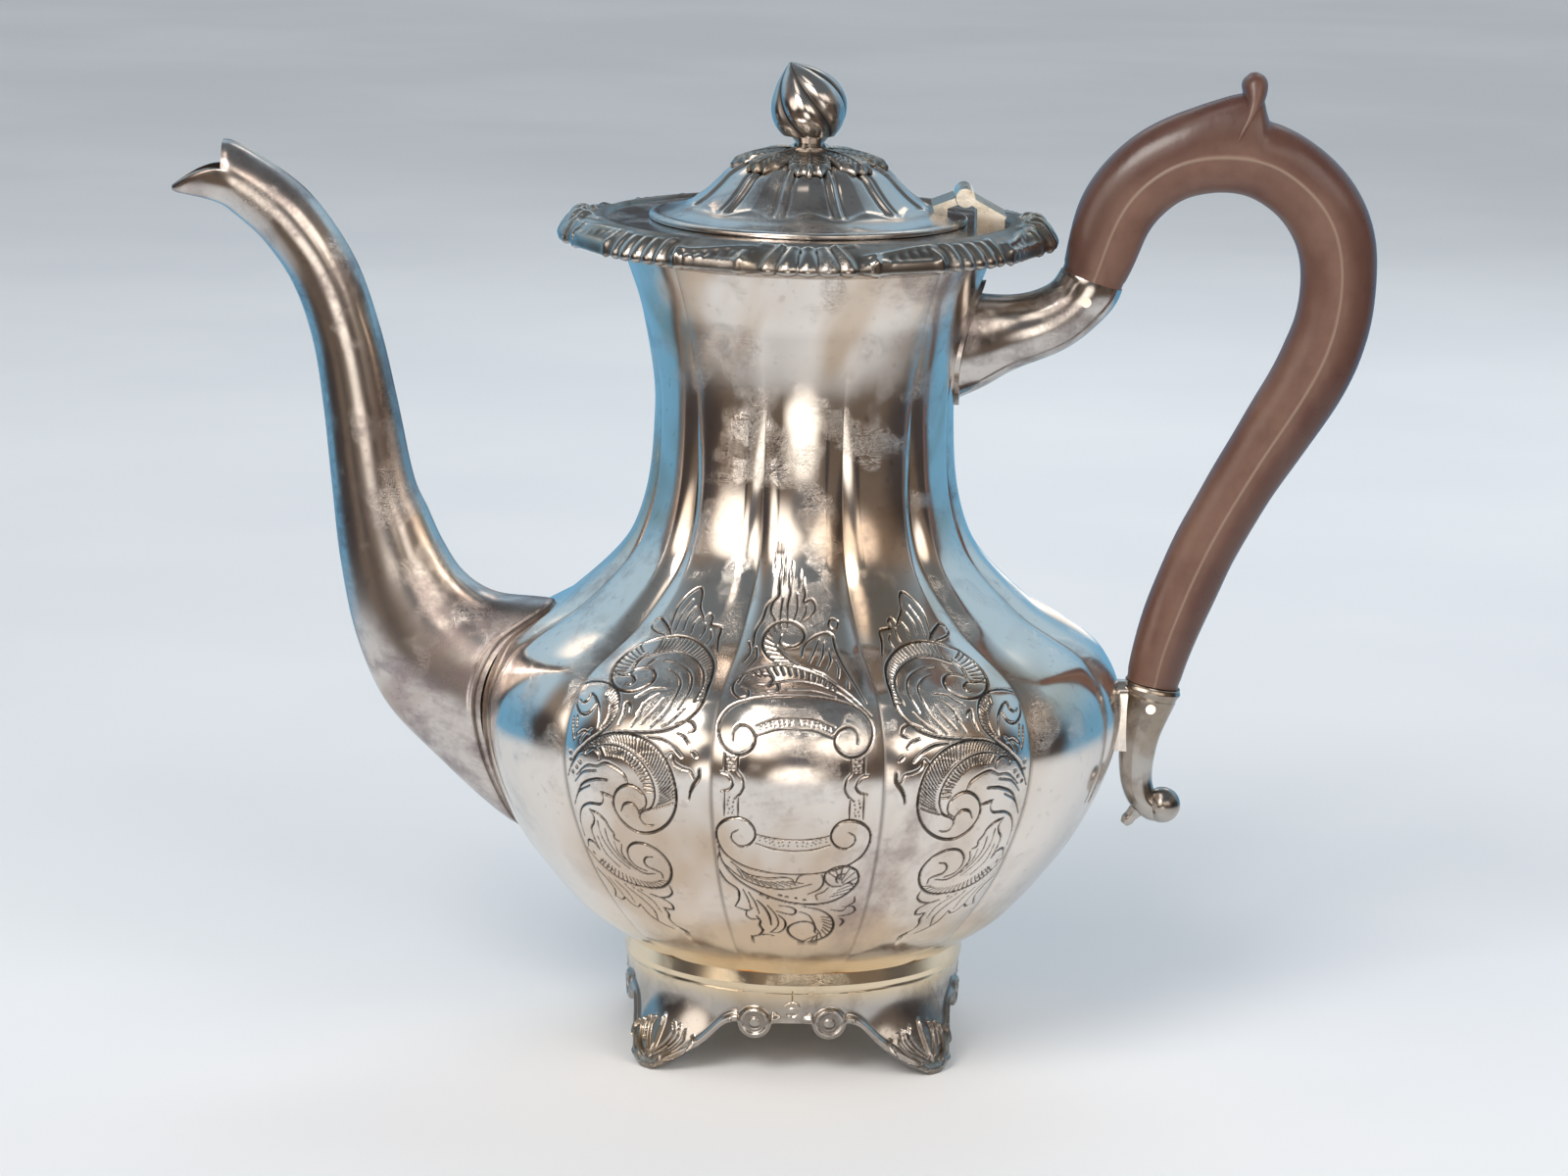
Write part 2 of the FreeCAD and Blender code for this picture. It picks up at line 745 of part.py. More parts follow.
def hinge_leaf(blank, own_spans, other_spans, bore_radius):
    """blank with its own knuckles added, room for the other leaf's knuckles, and the pin's bore"""
    room = knuckle_radius + knuckle_gap
    for start, end in other_spans:
        clear = rod_across(hinge_x, hinge_height, room, start - knuckle_gap, end + knuckle_gap)
        blank = blank.cut(clear)
    for start, end in own_spans:
        blank = blank.fuse(rod_across(hinge_x, hinge_height, knuckle_radius, start, end))
    bore = rod_across(hinge_x, hinge_height, bore_radius, -hinge_half - plate, hinge_half + plate)
    return blank.cut(bore)


middle_span = [(-knuckle_half, knuckle_half)]
outer_spans = [(-hinge_half, -knuckle_half - knuckle_gap), (knuckle_half + knuckle_gap, hinge_half)]
pin_radius = size("sizes.hinge_pin_radius")


def lid_hinge_leaf():
    seat = size(lid_seat)
    end_x = hinge_x - size("sizes.lid_leaf_length")
    blank = leaf_blank(end_x, seat + size("sizes.dome_foot_rise") + plate / 2,
                       end_x + size("sizes.leaf_foot"), seat)
    leaf = hinge_leaf(blank, middle_span, outer_spans, pin_radius + size("sizes.hinge_pin_clearance"))
    return max(leaf.cut(dome_outer).Solids, key=lambda solid: solid.Volume)


def rim_hinge_leaf():
    surface = size(deck)
    end_x = hinge_x + size("sizes.rim_leaf_length")
    blank = leaf_blank(end_x, surface + plate, end_x - 2 * size("sizes.leaf_foot"), surface)
    clear_lid = Part.makeCylinder(size("sizes.brim_radius + 2 * sizes.lid_gap"), knuckle_radius * 2,
                                  Vector(0, 0, surface))
    leaf = hinge_leaf(blank.cut(clear_lid), outer_spans, middle_span, pin_radius)
    return max(leaf.Solids, key=lambda solid: solid.Volume)


feature("lid_hinge_leaf", lid_hinge_leaf())
feature("rim_hinge_leaf", rim_hinge_leaf())

pieces.append(cylinder(
    "hinge_pin",
    "sizes.hinge_pin_radius",
    "sizes.hinge_width",
    ("sizes.hinge_x", "-sizes.hinge_width / 2", f"{deck} + sizes.hinge_rise"),
    y_axis,
))

# ---------------------------------------------------------------- spout

# sections from root to lip: outer edge and inner edge, each as (reach beyond the belly, share of the
# rise from belly to mouth), then half the breadth
spout_sections = [
    ((-20.0, -0.32), (-26.0, 0.235), 18.5),
    ((-5.1, -0.232), (-15.5, 0.24), 18.5),
    ((9.0, -0.124), (-4.5, 0.25), 16.8),
    ((23.1, 0.0), (3.5, 0.294), 14.8),
    ((30.8, 0.143), (8.8, 0.36), 13.0),
    ((35.0, 0.31), (12.8, 0.432), 11.6),
    ((37.3, 0.479), (16.4, 0.5), 10.3),
    ((39.3, 0.639), (21.0, 0.676), 9.2),
    ((42.1, 0.79), (25.5, 0.83), 8.4),
    ((47.1, 0.912), (31.8, 0.974), 8.2),
    ((54.5, 1.004), (42.1, 1.1), 8.0),
    ((62.0, 1.061), (52.1, 1.168), 7.8),
    ((67.0, 1.087), (64.5, 1.222), 7.5),
]
lip_tip = (78.2, 1.108)
lip_notch = (67.0, 1.165)


def spout_point(reach, rise):
    return Vector(-belly_radius - reach, 0, belly_height + rise * (mouth_height - belly_height))


def octagon(outer, inner, breadth, wall):
    """eight-sided section between an outer and an inner edge, drawn in by a wall"""
    centre = (outer + inner) / 2
    half = (inner - outer) / 2
    length = half.Length
    half = half / length * (length - wall)
    points = []
    for step in range(8):
        angle = math.pi * (step + 0.5) / 4
        reach = half * math.cos(angle) + y_axis * (breadth - wall) * math.sin(angle)
        points.append(centre + reach / math.cos(math.pi / 8))
    return Part.makePolygon(points + points[:1])


def spout_solid(wall):
    wires = []
    for outer, inner, breadth in spout_sections:
        wires.append(octagon(spout_point(*outer), spout_point(*inner), breadth, wall))
    tip = spout_point(*lip_tip)
    notch = spout_point(*lip_notch)
    last_outer = spout_point(*spout_sections[-1][0])
    last_inner = spout_point(*spout_sections[-1][1])
    beyond = tip + (last_inner - last_outer) * 0.75
    wires.append(octagon(tip, beyond, spout_sections[-1][2] * 0.4, wall * 0.5))
    return loft(wires), last_inner, notch, tip


def spout_halves():
    wall = size("sizes.spout_wall")
    outer, top, notch, tip = spout_solid(0)
    hollow = spout_solid(wall)[0]
    reach = belly_radius
    mouth_cut = prism_across([
        (top.x - wall / 2, top.z + reach),
        (top.x - wall / 2, top.z),
        (notch.x, notch.z),
        (tip.x, tip.z + wall / 2),
        (tip.x - reach, tip.z + wall / 2),
        (tip.x - reach, top.z + reach),
    ], reach)
    spout = outer.cut([hollow, body_outer, mouth_cut])
    spout = max(spout.Solids, key=lambda solid: solid.Volume)
    side = 4 * reach
    halves = []
    for front in (-side, 0):
        block = Part.makeBox(side, side, side, Vector(-side, front, -reach))
        halves.append(max(spout.common(block).Solids, key=lambda solid: solid.Volume))
    return halves


spout_front, spout_back = spout_halves()
feature("spout_front_half", spout_front)
feature("spout_back_half", spout_back)

# ---------------------------------------------------------------- handle

# grip sections from the upper socket round to the lower one: (reach beyond the belly, share of the rise
# from the grip's foot to the mouth, half width)
grip_sections = [
    (-11.0, 0.955, 7.9),
    (-8.5, 1.023, 8.7),
    (-4.9, 1.115, 9.0),
    (2.0, 1.191, 9.3),
    (11.7, 1.242, 9.6),
    (22.0, 1.251, 9.5),
    (33.0, 1.239, 9.9),
    (40.9, 1.19, 10.1),
    (47.0, 1.136, 10.2),
    (50.8, 1.059, 10.0),
    (52.0, 0.963, 9.6),
    (50.7, 0.859, 9.7),
    (47.8, 0.777, 9.9),
    (41.7, 0.672, 9.5),
    (32.0, 0.527, 8.7),
    (20.8, 0.338, 8.3),
    (13.4, 0.172, 8.0),
    (9.0, 0.05, 7.3),
]

foot_height = size("sizes.grip_foot_height")
grip_rise = mouth_height - foot_height
breadth_ratio = size("sizes.grip_breadth_ratio")


def grip_point(reach, rise):
    return Vector(belly_radius + reach, 0, foot_height + rise * grip_rise)


grip_centres = [grip_point(reach, rise) for reach, rise, _ in grip_sections]
grip_centres.append(grip_point(size("sizes.grip_foot_beyond"), 0))
grip_halves = [half for _, _, half in grip_sections] + [6.9]
upper_direction = (grip_centres[1] - grip_centres[0]).normalize()
lower_direction = (grip_centres[-1] - grip_centres[-2]).normalize()
tenon_length = size("sizes.tenon_length")


def tenon(end, direction, clearance):
    """round tenon that stands out of the grip's end, or its pocket when a clearance is given"""
    start = end - direction * 2
    return Part.makeCylinder(size("sizes.tenon_radius") + clearance, tenon_length + 2 + clearance, start, direction)


def thumb_scroll():
    """rest that rises along the top of the grip and curls over at its end"""
    half = size("sizes.thumb_scroll_half_breadth")
    radius = size("sizes.thumb_scroll_radius")
    curl = grip_point(28.3, 1.403)
    ramp = prism_across([
        (curl.x - 19, curl.z - 9.5),
        (curl.x - 3.2, curl.z - 2.2),
        (curl.x, curl.z),
        (curl.x + radius, curl.z),
        (curl.x + 3.2, curl.z - 8),
        (curl.x + 3.0, curl.z - 12),
    ], half)
    return ramp.fuse(rod_across(curl.x, curl.z, radius, -half, half))


def pin_place(end, direction, share=0.6):
    """centre of the cross pin through a tenon"""
    return end + direction * tenon_length * share


upper_pin = pin_place(grip_centres[0], upper_direction * -1)
lower_pin = pin_place(grip_centres[-1], lower_direction, 0.62)
pin_half = size("sizes.tenon_radius + sizes.socket_wall + 0.8")


def pin_hole(place):
    return rod_across(place.x, place.z, size("sizes.handle_pin_radius"), -2 * pin_half, 2 * pin_half)


def handle_grip():
    breadths = [half * breadth_ratio for half in grip_halves]
    grip = tube(grip_centres, grip_halves, breadths, upper_direction, lower_direction)
    upper = tenon(grip_centres[0], upper_direction * -1, 0)
    lower = tenon(grip_centres[-1], lower_direction, 0)
    grip = grip.fuse([upper, lower, thumb_scroll()])
    return grip.cut([pin_hole(upper_pin), pin_hole(lower_pin)]).Solids[0]


handle_grip_shape = handle_grip()
feature("handle_grip", handle_grip_shape)


def upper_socket_parts():
    """hollow arm from the neck to the grip's upper end, and the patch under its root"""
    mouth = grip_centres[0]
    root_height = mouth.z - 17
    root_x = crest_radius(root_height) - 3
    # share of the way out, share of the way up, half width
    arm = [
        (0.0, 0.0, 15.0),
        (0.17, 0.06, 12.4),
        (0.32, 0.14, 10.6),
        (0.47, 0.21, 9.3),
        (0.62, 0.3, 8.7),
        (0.77, 0.45, 8.3),
        (0.91, 0.7, 8.1),
        (1.0, 1.0, 7.9 + size("sizes.socket_lip")),
    ]
    centres = []
    for out, up, _ in arm:
        centres.append(Vector(root_x + (mouth.x - root_x) * out, 0, root_height + (mouth.z - root_height) * up))
    halves = [half for _, _, half in arm]
    breadths = [half * (0.62 + 0.24 * out) for out, _, half in arm]
    wall = size("sizes.socket_wall")
    outer = tube(centres, halves, breadths, Vector(1, 0, 0), upper_direction)
    hollow = tube(centres, [half - wall for half in halves], [breadth - wall for breadth in breadths],
                  Vector(1, 0, 0), upper_direction)
    patch_root = Vector(crest_radius(root_height) - 12, 0, root_height)
    patch_outline = []
    half_height = halves[0] + 1.2
    half_breadth = size("sizes.patch_half_breadth")
    for step in range(24):
        angle = math.pi * step / 12
        pointed = math.copysign(abs(math.sin(angle)) ** 1.5, math.sin(angle))
        patch_outline.append(patch_root + Vector(0, half_breadth * pointed, half_height * math.cos(angle)))
    blank = Part.Face(closed_curve(patch_outline)).extrude(Vector(40, 0, 0))
    thickness = size("sizes.patch_thickness")
    neck_band = [height for height in body_stations() if height > size("sizes.shoulder_height")]
    raised = loft([lobed_wire(crest_radius(height) + thickness, crease_depth(height), height)
                   for height in neck_band])
    patch = blank.common(raised).cut(body_outer)
    patch = max(patch.Solids, key=lambda solid: solid.Volume)
    pocket = tenon(mouth, upper_direction * -1, size("sizes.tenon_clearance"))
    arm_shape = outer.cut([hollow, raised, body_outer, pocket, pin_hole(upper_pin)])
    return max(arm_shape.Solids, key=lambda solid: solid.Volume), patch


upper_socket, upper_patch = upper_socket_parts()
feature("upper_handle_socket", upper_socket)
feature("upper_socket_patch", upper_patch)


def lower_handle_socket():
    """tapering socket that ends in a ball scroll and a small tail"""
    mouth = grip_centres[-1]
    # reach from the mouth's centre, drop below it, half width
    stem = [
        (0.0, 0.0, 6.9 + size("sizes.socket_lip")),
        (-1.2, 6.5, 6.1),
        (-2.4, 13.0, 5.1),
        (-2.9, 18.5, 4.5),
        (-2.7, 24.0, 3.7),
        (-1.4, 29.0, 3.2),
        (1.6, 32.3, 3.0),
    ]
    centres = [Vector(mouth.x + out, 0, mouth.z - drop) for out, drop, _ in stem]
    halves = [half for _, _, half in stem]
    breadths = [half * 0.88 for half in halves]
    socket = tube(centres, halves, breadths, lower_direction)
    ball = Part.makeSphere(size("sizes.scroll_ball_radius"), Vector(mouth.x + 3.4, 0, mouth.z - 32.6))
    tail_radius = size("sizes.scroll_tail_radius")
    tail_end = Vector(mouth.x - 4.6, 0, mouth.z - 38.2)
    tail = Part.makeSphere(tail_radius, tail_end)
    link_start = Vector(mouth.x - 0.6, 0, mouth.z - 32.5)
    along = tail_end - link_start
    link = Part.makeCone(size("sizes.scroll_link_radius"), tail_radius * 0.7, along.Length, link_start, along)
    pocket = tenon(mouth, lower_direction, size("sizes.tenon_clearance"))
    socket = socket.fuse([ball, tail, link])
    return socket.cut([pocket, pin_hole(lower_pin)]).Solids[0]


lower_socket = lower_handle_socket()
feature("lower_handle_socket", lower_socket)


def lower_socket_strap():
    """pad between the belly and the lower socket"""
    top = foot_height - 2.5
    length = size("sizes.strap_length")
    half = size("sizes.strap_half_breadth")
    start = belly_radius - 6
    reach = 9.0
    pad = Part.makeBox(reach, 2 * half, length, Vector(start, -half, top - length))
    bead = Part.makeCylinder(half * 0.95, reach, Vector(start, 0, top), Vector(1, 0, 0))
    strap = pad.fuse(bead).cut([body_outer, lower_socket, handle_grip_shape])
    keep = [solid for solid in strap.Solids if solid.CenterOfMass.x < grip_centres[-1].x - 2]
    return max(keep, key=lambda solid: solid.Volume)


feature("lower_socket_strap", lower_socket_strap())


def cross_pin(label, place):
    feature(label, rod_across(place.x, place.z, size("sizes.handle_pin_radius"), -pin_half, pin_half))


cross_pin("upper_handle_pin", upper_pin)
cross_pin("lower_handle_pin", lower_pin)

# ---------------------------------------------------------------- checks and export

document.recompute()
for item in document.Objects:
    if "Invalid" in item.State or "Error" in item.State:
        raise RuntimeError(f"{item.Label} did not compute: {item.State}")
for item in pieces:
    if item.Shape.isNull() or not item.Shape.isValid():
        raise RuntimeError(f"{item.Label} has no valid shape")

os.makedirs("parts", exist_ok=True)
for item in pieces:
    item.Shape.exportStep(f"parts/{item.Label}.step")
    print(item.Label, round(item.Shape.Volume), len(item.Shape.Solids), "solid")
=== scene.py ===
# Silver-plated coffee pot: a raised body of twelve lobes with chased panels, a swan-neck spout, cast feet and
# rim, a domed lid with a bud, and a composition handle. Shapes are worked out in millimetres and put down in
# metres, in the frame's own axes: z up, handle towards +x, spout towards -x, the front cartouche towards -y.

import json
import bpy
import numpy as np
from mathutils import Matrix


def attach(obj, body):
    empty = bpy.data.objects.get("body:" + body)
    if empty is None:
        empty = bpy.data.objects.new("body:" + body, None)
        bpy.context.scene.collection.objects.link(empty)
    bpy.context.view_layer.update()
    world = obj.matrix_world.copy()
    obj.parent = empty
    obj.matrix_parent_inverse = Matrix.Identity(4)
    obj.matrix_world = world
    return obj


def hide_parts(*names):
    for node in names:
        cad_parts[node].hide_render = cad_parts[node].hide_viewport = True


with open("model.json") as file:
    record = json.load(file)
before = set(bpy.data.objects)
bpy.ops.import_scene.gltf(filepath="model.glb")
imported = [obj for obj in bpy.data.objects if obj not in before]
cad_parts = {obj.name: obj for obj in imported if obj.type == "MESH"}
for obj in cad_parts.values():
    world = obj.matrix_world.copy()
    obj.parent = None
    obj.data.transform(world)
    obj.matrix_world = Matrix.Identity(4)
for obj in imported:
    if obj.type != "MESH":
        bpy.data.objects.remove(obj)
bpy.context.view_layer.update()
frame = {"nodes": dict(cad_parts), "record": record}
nodes = frame["nodes"]
scene = bpy.context.scene
millimetre = 0.001
fullTurn = 2 * np.pi

# camera, floor and light

camera = {
    "place": (-0.00425, -1.211, 0.370),  # metres
    "pitch": 11.75,                      # degrees below level
    "roll": 1.18,
    "lens": 110.1,
}

def addCamera(values):
    pitch, roll = np.radians(values["pitch"]), np.radians(values["roll"])
    right = (np.cos(roll), np.sin(roll) * np.sin(pitch), np.sin(roll) * np.cos(pitch))
    up = (-np.sin(roll), np.cos(roll) * np.sin(pitch), np.cos(roll) * np.cos(pitch))
    back = (0.0, -np.cos(pitch), np.sin(pitch))
    data = bpy.data.cameras.new("camera")
    data.lens, data.sensor_width, data.sensor_fit = values["lens"], 36.0, "HORIZONTAL"
    data.clip_start, data.clip_end = 0.01, 50.0
    item = bpy.data.objects.new("camera", data)
    columns = np.eye(4)
    columns[:3, 0], columns[:3, 1], columns[:3, 2] = right, up, back
    columns[:3, 3] = values["place"]
    item.matrix_world = Matrix(columns.tolist())
    scene.collection.objects.link(item)
    scene.camera = item

addCamera(camera)

def node(tree, kind, **inputs):
    # one node with its inputs set: plain values are set on the socket, sockets are linked to it
    made = tree.nodes.new(kind)
    for name, value in inputs.items():
        if name.startswith("set_"):
            setattr(made, name[4:], value)
    for name, value in inputs.items():
        if name.startswith("set_"):
            continue
        key = int(name[1:]) if name[0] == "i" and name[1:].isdigit() else name.replace("_", " ")
        socket = made.inputs[key]
        if isinstance(value, bpy.types.NodeSocket):
            tree.links.new(value, socket)
        else:
            socket.default_value = value
    return made

def mathNode(tree, operation, first, second=0.0, third=0.0, clamp=False):
    made = node(tree, "ShaderNodeMath", set_operation=operation, set_use_clamp=clamp, i0=first, i1=second)
    if operation == "MULTIPLY_ADD":
        if isinstance(third, bpy.types.NodeSocket):
            tree.links.new(third, made.inputs[2])
        else:
            made.inputs[2].default_value = third
    return made.outputs[0]

def mixNode(tree, share, first, second):
    made = node(tree, "ShaderNodeMix", set_data_type="RGBA", i0=share, i6=first, i7=second)
    return made.outputs[2]

def noiseNode(tree, place, scale, detail=2.0, roughness=0.5, distortion=0.0):
    made = node(tree, "ShaderNodeTexNoise", Vector=place, Scale=scale, Detail=detail, Roughness=roughness,
                Distortion=distortion)
    return made.outputs["Fac"]

def rangeNode(tree, value, fromLow, fromHigh, toLow=0.0, toHigh=1.0, kind="SMOOTHSTEP"):
    made = node(tree, "ShaderNodeMapRange", set_interpolation_type=kind, i0=value, i1=fromLow, i2=fromHigh,
                i3=toLow, i4=toHigh)
    return made.outputs[0]

studio = {
    "skyBlue": (0.21, 0.49, 0.75, 1.0),
    "paleBlue": (0.56, 0.78, 0.95, 1.0),
    "room": (0.31, 0.255, 0.215, 1.0),
    "roomLow": (0.17, 0.13, 0.10, 1.0),
    "overhead": (0.19, 0.215, 0.235, 1.0),
    "window": (2.3, 2.1, 1.88, 1.0),
    "table": (2.5, 2.35, 2.15, 1.0),
    "panel": (0.16, 0.16, 0.175, 1.0),
    "shadowy": (0.07, 0.06, 0.06, 1.0),
    "backdrop": (0.70, 0.80, 0.88, 1.0),
    "floor": (0.80, 0.81, 0.84, 1.0),
    "strength": 0.90,
    "frontFade": (0.28, -0.08), "blueFade": (-0.1, 0.55), "roomFade": (-0.15, 0.5),
    # soft patches, later over earlier: direction, degrees from it where one begins and is full, colour
    "patches": [
        ((0.0, -0.25, 1.0), 62, 34, "overhead"),
        ((0.0, -1.0, -0.24), 16, 6, "table"),
        ((-0.75, -0.62, 0.30), 22, 9, "window"),
        ((0.62, -0.70, 0.42), 17, 7, "window"),
        ((-0.30, -0.95, 0.42), 19, 8, "window"),
        ((0.30, -0.95, 0.40), 15, 6, "window"),
        ((-0.2, -0.35, 0.92), 12, 5, "window"),
        ((0.02, -0.97, 0.16), 12, 8, "panel"),
        ((0.42, -0.90, -0.05), 11, 4, "shadowy"),
        ((-0.55, -0.83, -0.02), 11, 4, "shadowy"),
        ((-0.98, -0.08, -0.08), 27, 10, "shadowy"),
        ((0.98, -0.08, -0.06), 27, 10, "shadowy"),
        ((0.30, 0.80, 0.75), 9, 4, "window"),
        ((-0.35, 0.80, 0.70), 9, 4, "window"),
        ((0.10, 0.99, 0.02), 9, 4, "window"),
        ((0.05, 1.0, 0.12), 12, 5, "shadowy"),
    ],
    "floorHalf": 8.0,            # metres
    "floorPale": (0.86, 0.87, 0.89, 1.0),
    "mirrorFade": (0.28, 0.48),  # metres from the pot over which mirror rays lose the floor
}

def addWorld(values):
    world = bpy.data.worlds.new("studio")
    scene.world = world
    world.use_nodes = True
    tree = world.node_tree
    tree.nodes.clear()
    way = node(tree, "ShaderNodeTexCoord").outputs["Generated"]

    def towards(direction, outer, inner):
        # share of a soft patch: the cosine between the ray and a direction, eased from outer to inner
        unit = np.array(direction, float) / np.linalg.norm(direction)
        dot = node(tree, "ShaderNodeVectorMath", set_operation="DOT_PRODUCT", i0=way, i1=tuple(unit))
        return rangeNode(tree, dot.outputs["Value"], np.cos(np.radians(outer)), np.cos(np.radians(inner)))

    split = node(tree, "ShaderNodeSeparateXYZ", i0=way)
    front = rangeNode(tree, split.outputs["Y"], *values["frontFade"])
    height = split.outputs["Z"]
    blue = mixNode(tree, rangeNode(tree, height, *values["blueFade"]), values["skyBlue"], values["paleBlue"])
    room = mixNode(tree, rangeNode(tree, height, *values["roomFade"]), values["roomLow"], values["room"])
    colour = mixNode(tree, front, blue, room)
    for direction, outer, inner, name in values["patches"]:
        colour = mixNode(tree, towards(direction, outer, inner), colour, values[name])
    seen = node(tree, "ShaderNodeLightPath").outputs["Is Camera Ray"]
    colour = mixNode(tree, seen, colour, values["backdrop"])
    light = node(tree, "ShaderNodeBackground", Color=colour, Strength=values["strength"])
    node(tree, "ShaderNodeOutputWorld", Surface=light.outputs[0])

addWorld(studio)

def addFloor(values):
    # pale floor; mirror rays see only its near part, as they would see a table with a backdrop behind it
    half = values["floorHalf"]
    mesh = bpy.data.meshes.new("floor")
    corners = [(-half, -half, 0), (half, -half, 0), (half, half, 0), (-half, half, 0)]
    mesh.from_pydata(corners, [], [(0, 1, 2, 3)])
    floor = bpy.data.objects.new("floor", mesh)
    scene.collection.objects.link(floor)
    material = bpy.data.materials.new("paleFloor")
    material.use_nodes = True
    tree = material.node_tree
    tree.nodes.clear()
    place = node(tree, "ShaderNodeTexCoord").outputs["Object"]
    grain = noiseNode(tree, place, 3.0, 3.0)
    colour = mixNode(tree, rangeNode(tree, grain, 0.3, 0.7), values["floor"], values["floorPale"])
    paint = node(tree, "ShaderNodeBsdfDiffuse", Color=colour)
    clear = node(tree, "ShaderNodeBsdfTransparent")
    reach = node(tree, "ShaderNodeVectorMath", set_operation="LENGTH", i0=place).outputs["Value"]
    far = rangeNode(tree, reach, *values["mirrorFade"])
    mirrored = node(tree, "ShaderNodeLightPath").outputs["Is Glossy Ray"]
    share = mathNode(tree, "MULTIPLY", far, mirrored)
    both = node(tree, "ShaderNodeMixShader", i0=share, i1=paint.outputs[0], i2=clear.outputs[0])
    node(tree, "ShaderNodeOutputMaterial", Surface=both.outputs[0])
    mesh.materials.append(material)

addFloor(studio)

lights = {
    "key": {"place": (-0.55, -1.05, 1.15), "size": 0.75, "power": 12.0, "colour": (1.0, 0.97, 0.93)},
    "fill": {"place": (0.95, -0.75, 0.75), "size": 0.8, "power": 4.5, "colour": (1.0, 0.98, 0.96)},
    "back": {"place": (0.35, 1.1, 1.0), "size": 0.9, "power": 4.5, "colour": (0.88, 0.95, 1.0)},
}
lightAim = (0, 0, 0.12)  # metres

def addLight(name, values):
    data = bpy.data.lights.new(name, "AREA")
    data.shape, data.size, data.energy, data.color = "DISK", values["size"], values["power"], values["colour"]
    item = bpy.data.objects.new(name, data)
    item.visible_glossy = name == "key"
    place = np.array(values["place"])
    back = place - np.array(lightAim)
    back /= np.linalg.norm(back)
    right = np.cross((0, 0, 1), back)
    right /= np.linalg.norm(right)
    columns = np.eye(4)
    columns[:3, 0], columns[:3, 1], columns[:3, 2], columns[:3, 3] = right, np.cross(back, right), back, place
    item.matrix_world = Matrix(columns.tolist())
    scene.collection.objects.link(item)

for lightName, lightValues in lights.items():
    addLight(lightName, lightValues)
scene.view_settings.view_transform = "Standard"
scene.view_settings.look = "None"
print("camera, floor and light are in place")

# finishes

def newGroup(name, inputs, outputs):
    group = bpy.data.node_groups.new(name, "ShaderNodeTree")
    for label, kind, value in inputs:
        socket = group.interface.new_socket(label, in_out="INPUT", socket_type=kind)
        socket.default_value = value
    for label, kind in outputs:
        group.interface.new_socket(label, in_out="OUTPUT", socket_type=kind)
    return group, group.nodes.new("NodeGroupInput").outputs, group.nodes.new("NodeGroupOutput").inputs

def tarnishGroup():
    # clouds of tarnish: a warped noise with a finer one added to break up its edges, eased into a mask;
    # blush is a second warped noise elsewhere, and specks are the peaks of a very fine one
    group, given, out = newGroup("tarnishClouds", [
        ("Size", "NodeSocketFloat", 22.0), ("Amount", "NodeSocketFloat", 0.5),
    ], [("Clouds", "NodeSocketFloat"), ("Blush", "NodeSocketFloat"), ("Specks", "NodeSocketFloat")])
    place = node(group, "ShaderNodeTexCoord").outputs["Object"]
    broad = noiseNode(group, place, given["Size"], 5.0, 0.62, 0.9)
    fine = noiseNode(group, place, mathNode(group, "MULTIPLY", given["Size"], 9.0), 6.0, 0.7)
    rough = mathNode(group, "MULTIPLY_ADD", mathNode(group, "SUBTRACT", fine, 0.5), 0.35, broad)
    low = mathNode(group, "SUBTRACT", 0.78, mathNode(group, "MULTIPLY", given["Amount"], 0.5))
    high = mathNode(group, "ADD", low, 0.22)
    group.links.new(rangeNode(group, rough, low, high), out["Clouds"])
    elsewhere = node(group, "ShaderNodeVectorMath", set_operation="ADD", i0=place, i1=(3.1, 7.7, 1.9))
    blush = noiseNode(group, elsewhere.outputs[0], mathNode(group, "MULTIPLY", given["Size"], 0.7),
                      3.0, 0.5, 1.4)
    group.links.new(rangeNode(group, blush, 0.46, 0.66), out["Blush"])
    group.links.new(rangeNode(group, noiseNode(group, place, 420.0), 0.62, 0.75), out["Specks"])
    return group

def scratchGroup():
    # polishing swirls: thin level lines of two warped noises stretched different ways
    group, given, out = newGroup("polishingSwirls", [("Size", "NodeSocketFloat", 60.0)],
                                 [("Lines", "NodeSocketFloat"), ("Ripple", "NodeSocketFloat")])
    place = node(group, "ShaderNodeTexCoord").outputs["Object"]
    lines = None
    for stretch, turn in (((1.0, 1.0, 5.0), 0.4), ((4.0, 4.0, 1.0), -0.7)):
        placed = node(group, "ShaderNodeMapping", Vector=place, Rotation=(turn, turn * 0.6, 0.0),
                      Scale=stretch)
        wave = noiseNode(group, placed.outputs[0], given["Size"], distortion=2.5)
        ridge = mathNode(group, "ABSOLUTE", mathNode(group, "SUBTRACT", mathNode(
            group, "FRACT", mathNode(group, "MULTIPLY", wave, 26.0)), 0.5))
        thin = rangeNode(group, ridge, 0.09, 0.0)
        lines = thin if lines is None else mathNode(group, "MAXIMUM", lines, thin)
    broken = rangeNode(group, noiseNode(group, place, 70.0), 0.48, 0.72)
    group.links.new(mathNode(group, "MULTIPLY", lines, broken), out["Lines"])
    group.links.new(noiseNode(group, place, 34.0, 1.5), out["Ripple"])
    return group

tarnishClouds, polishingSwirls = tarnishGroup(), scratchGroup()

def placeGroup(tree, group, **inputs):
    made = tree.nodes.new("ShaderNodeGroup")
    made.node_tree = group
    for name, value in inputs.items():
        made.inputs[name].default_value = value
    return made.outputs

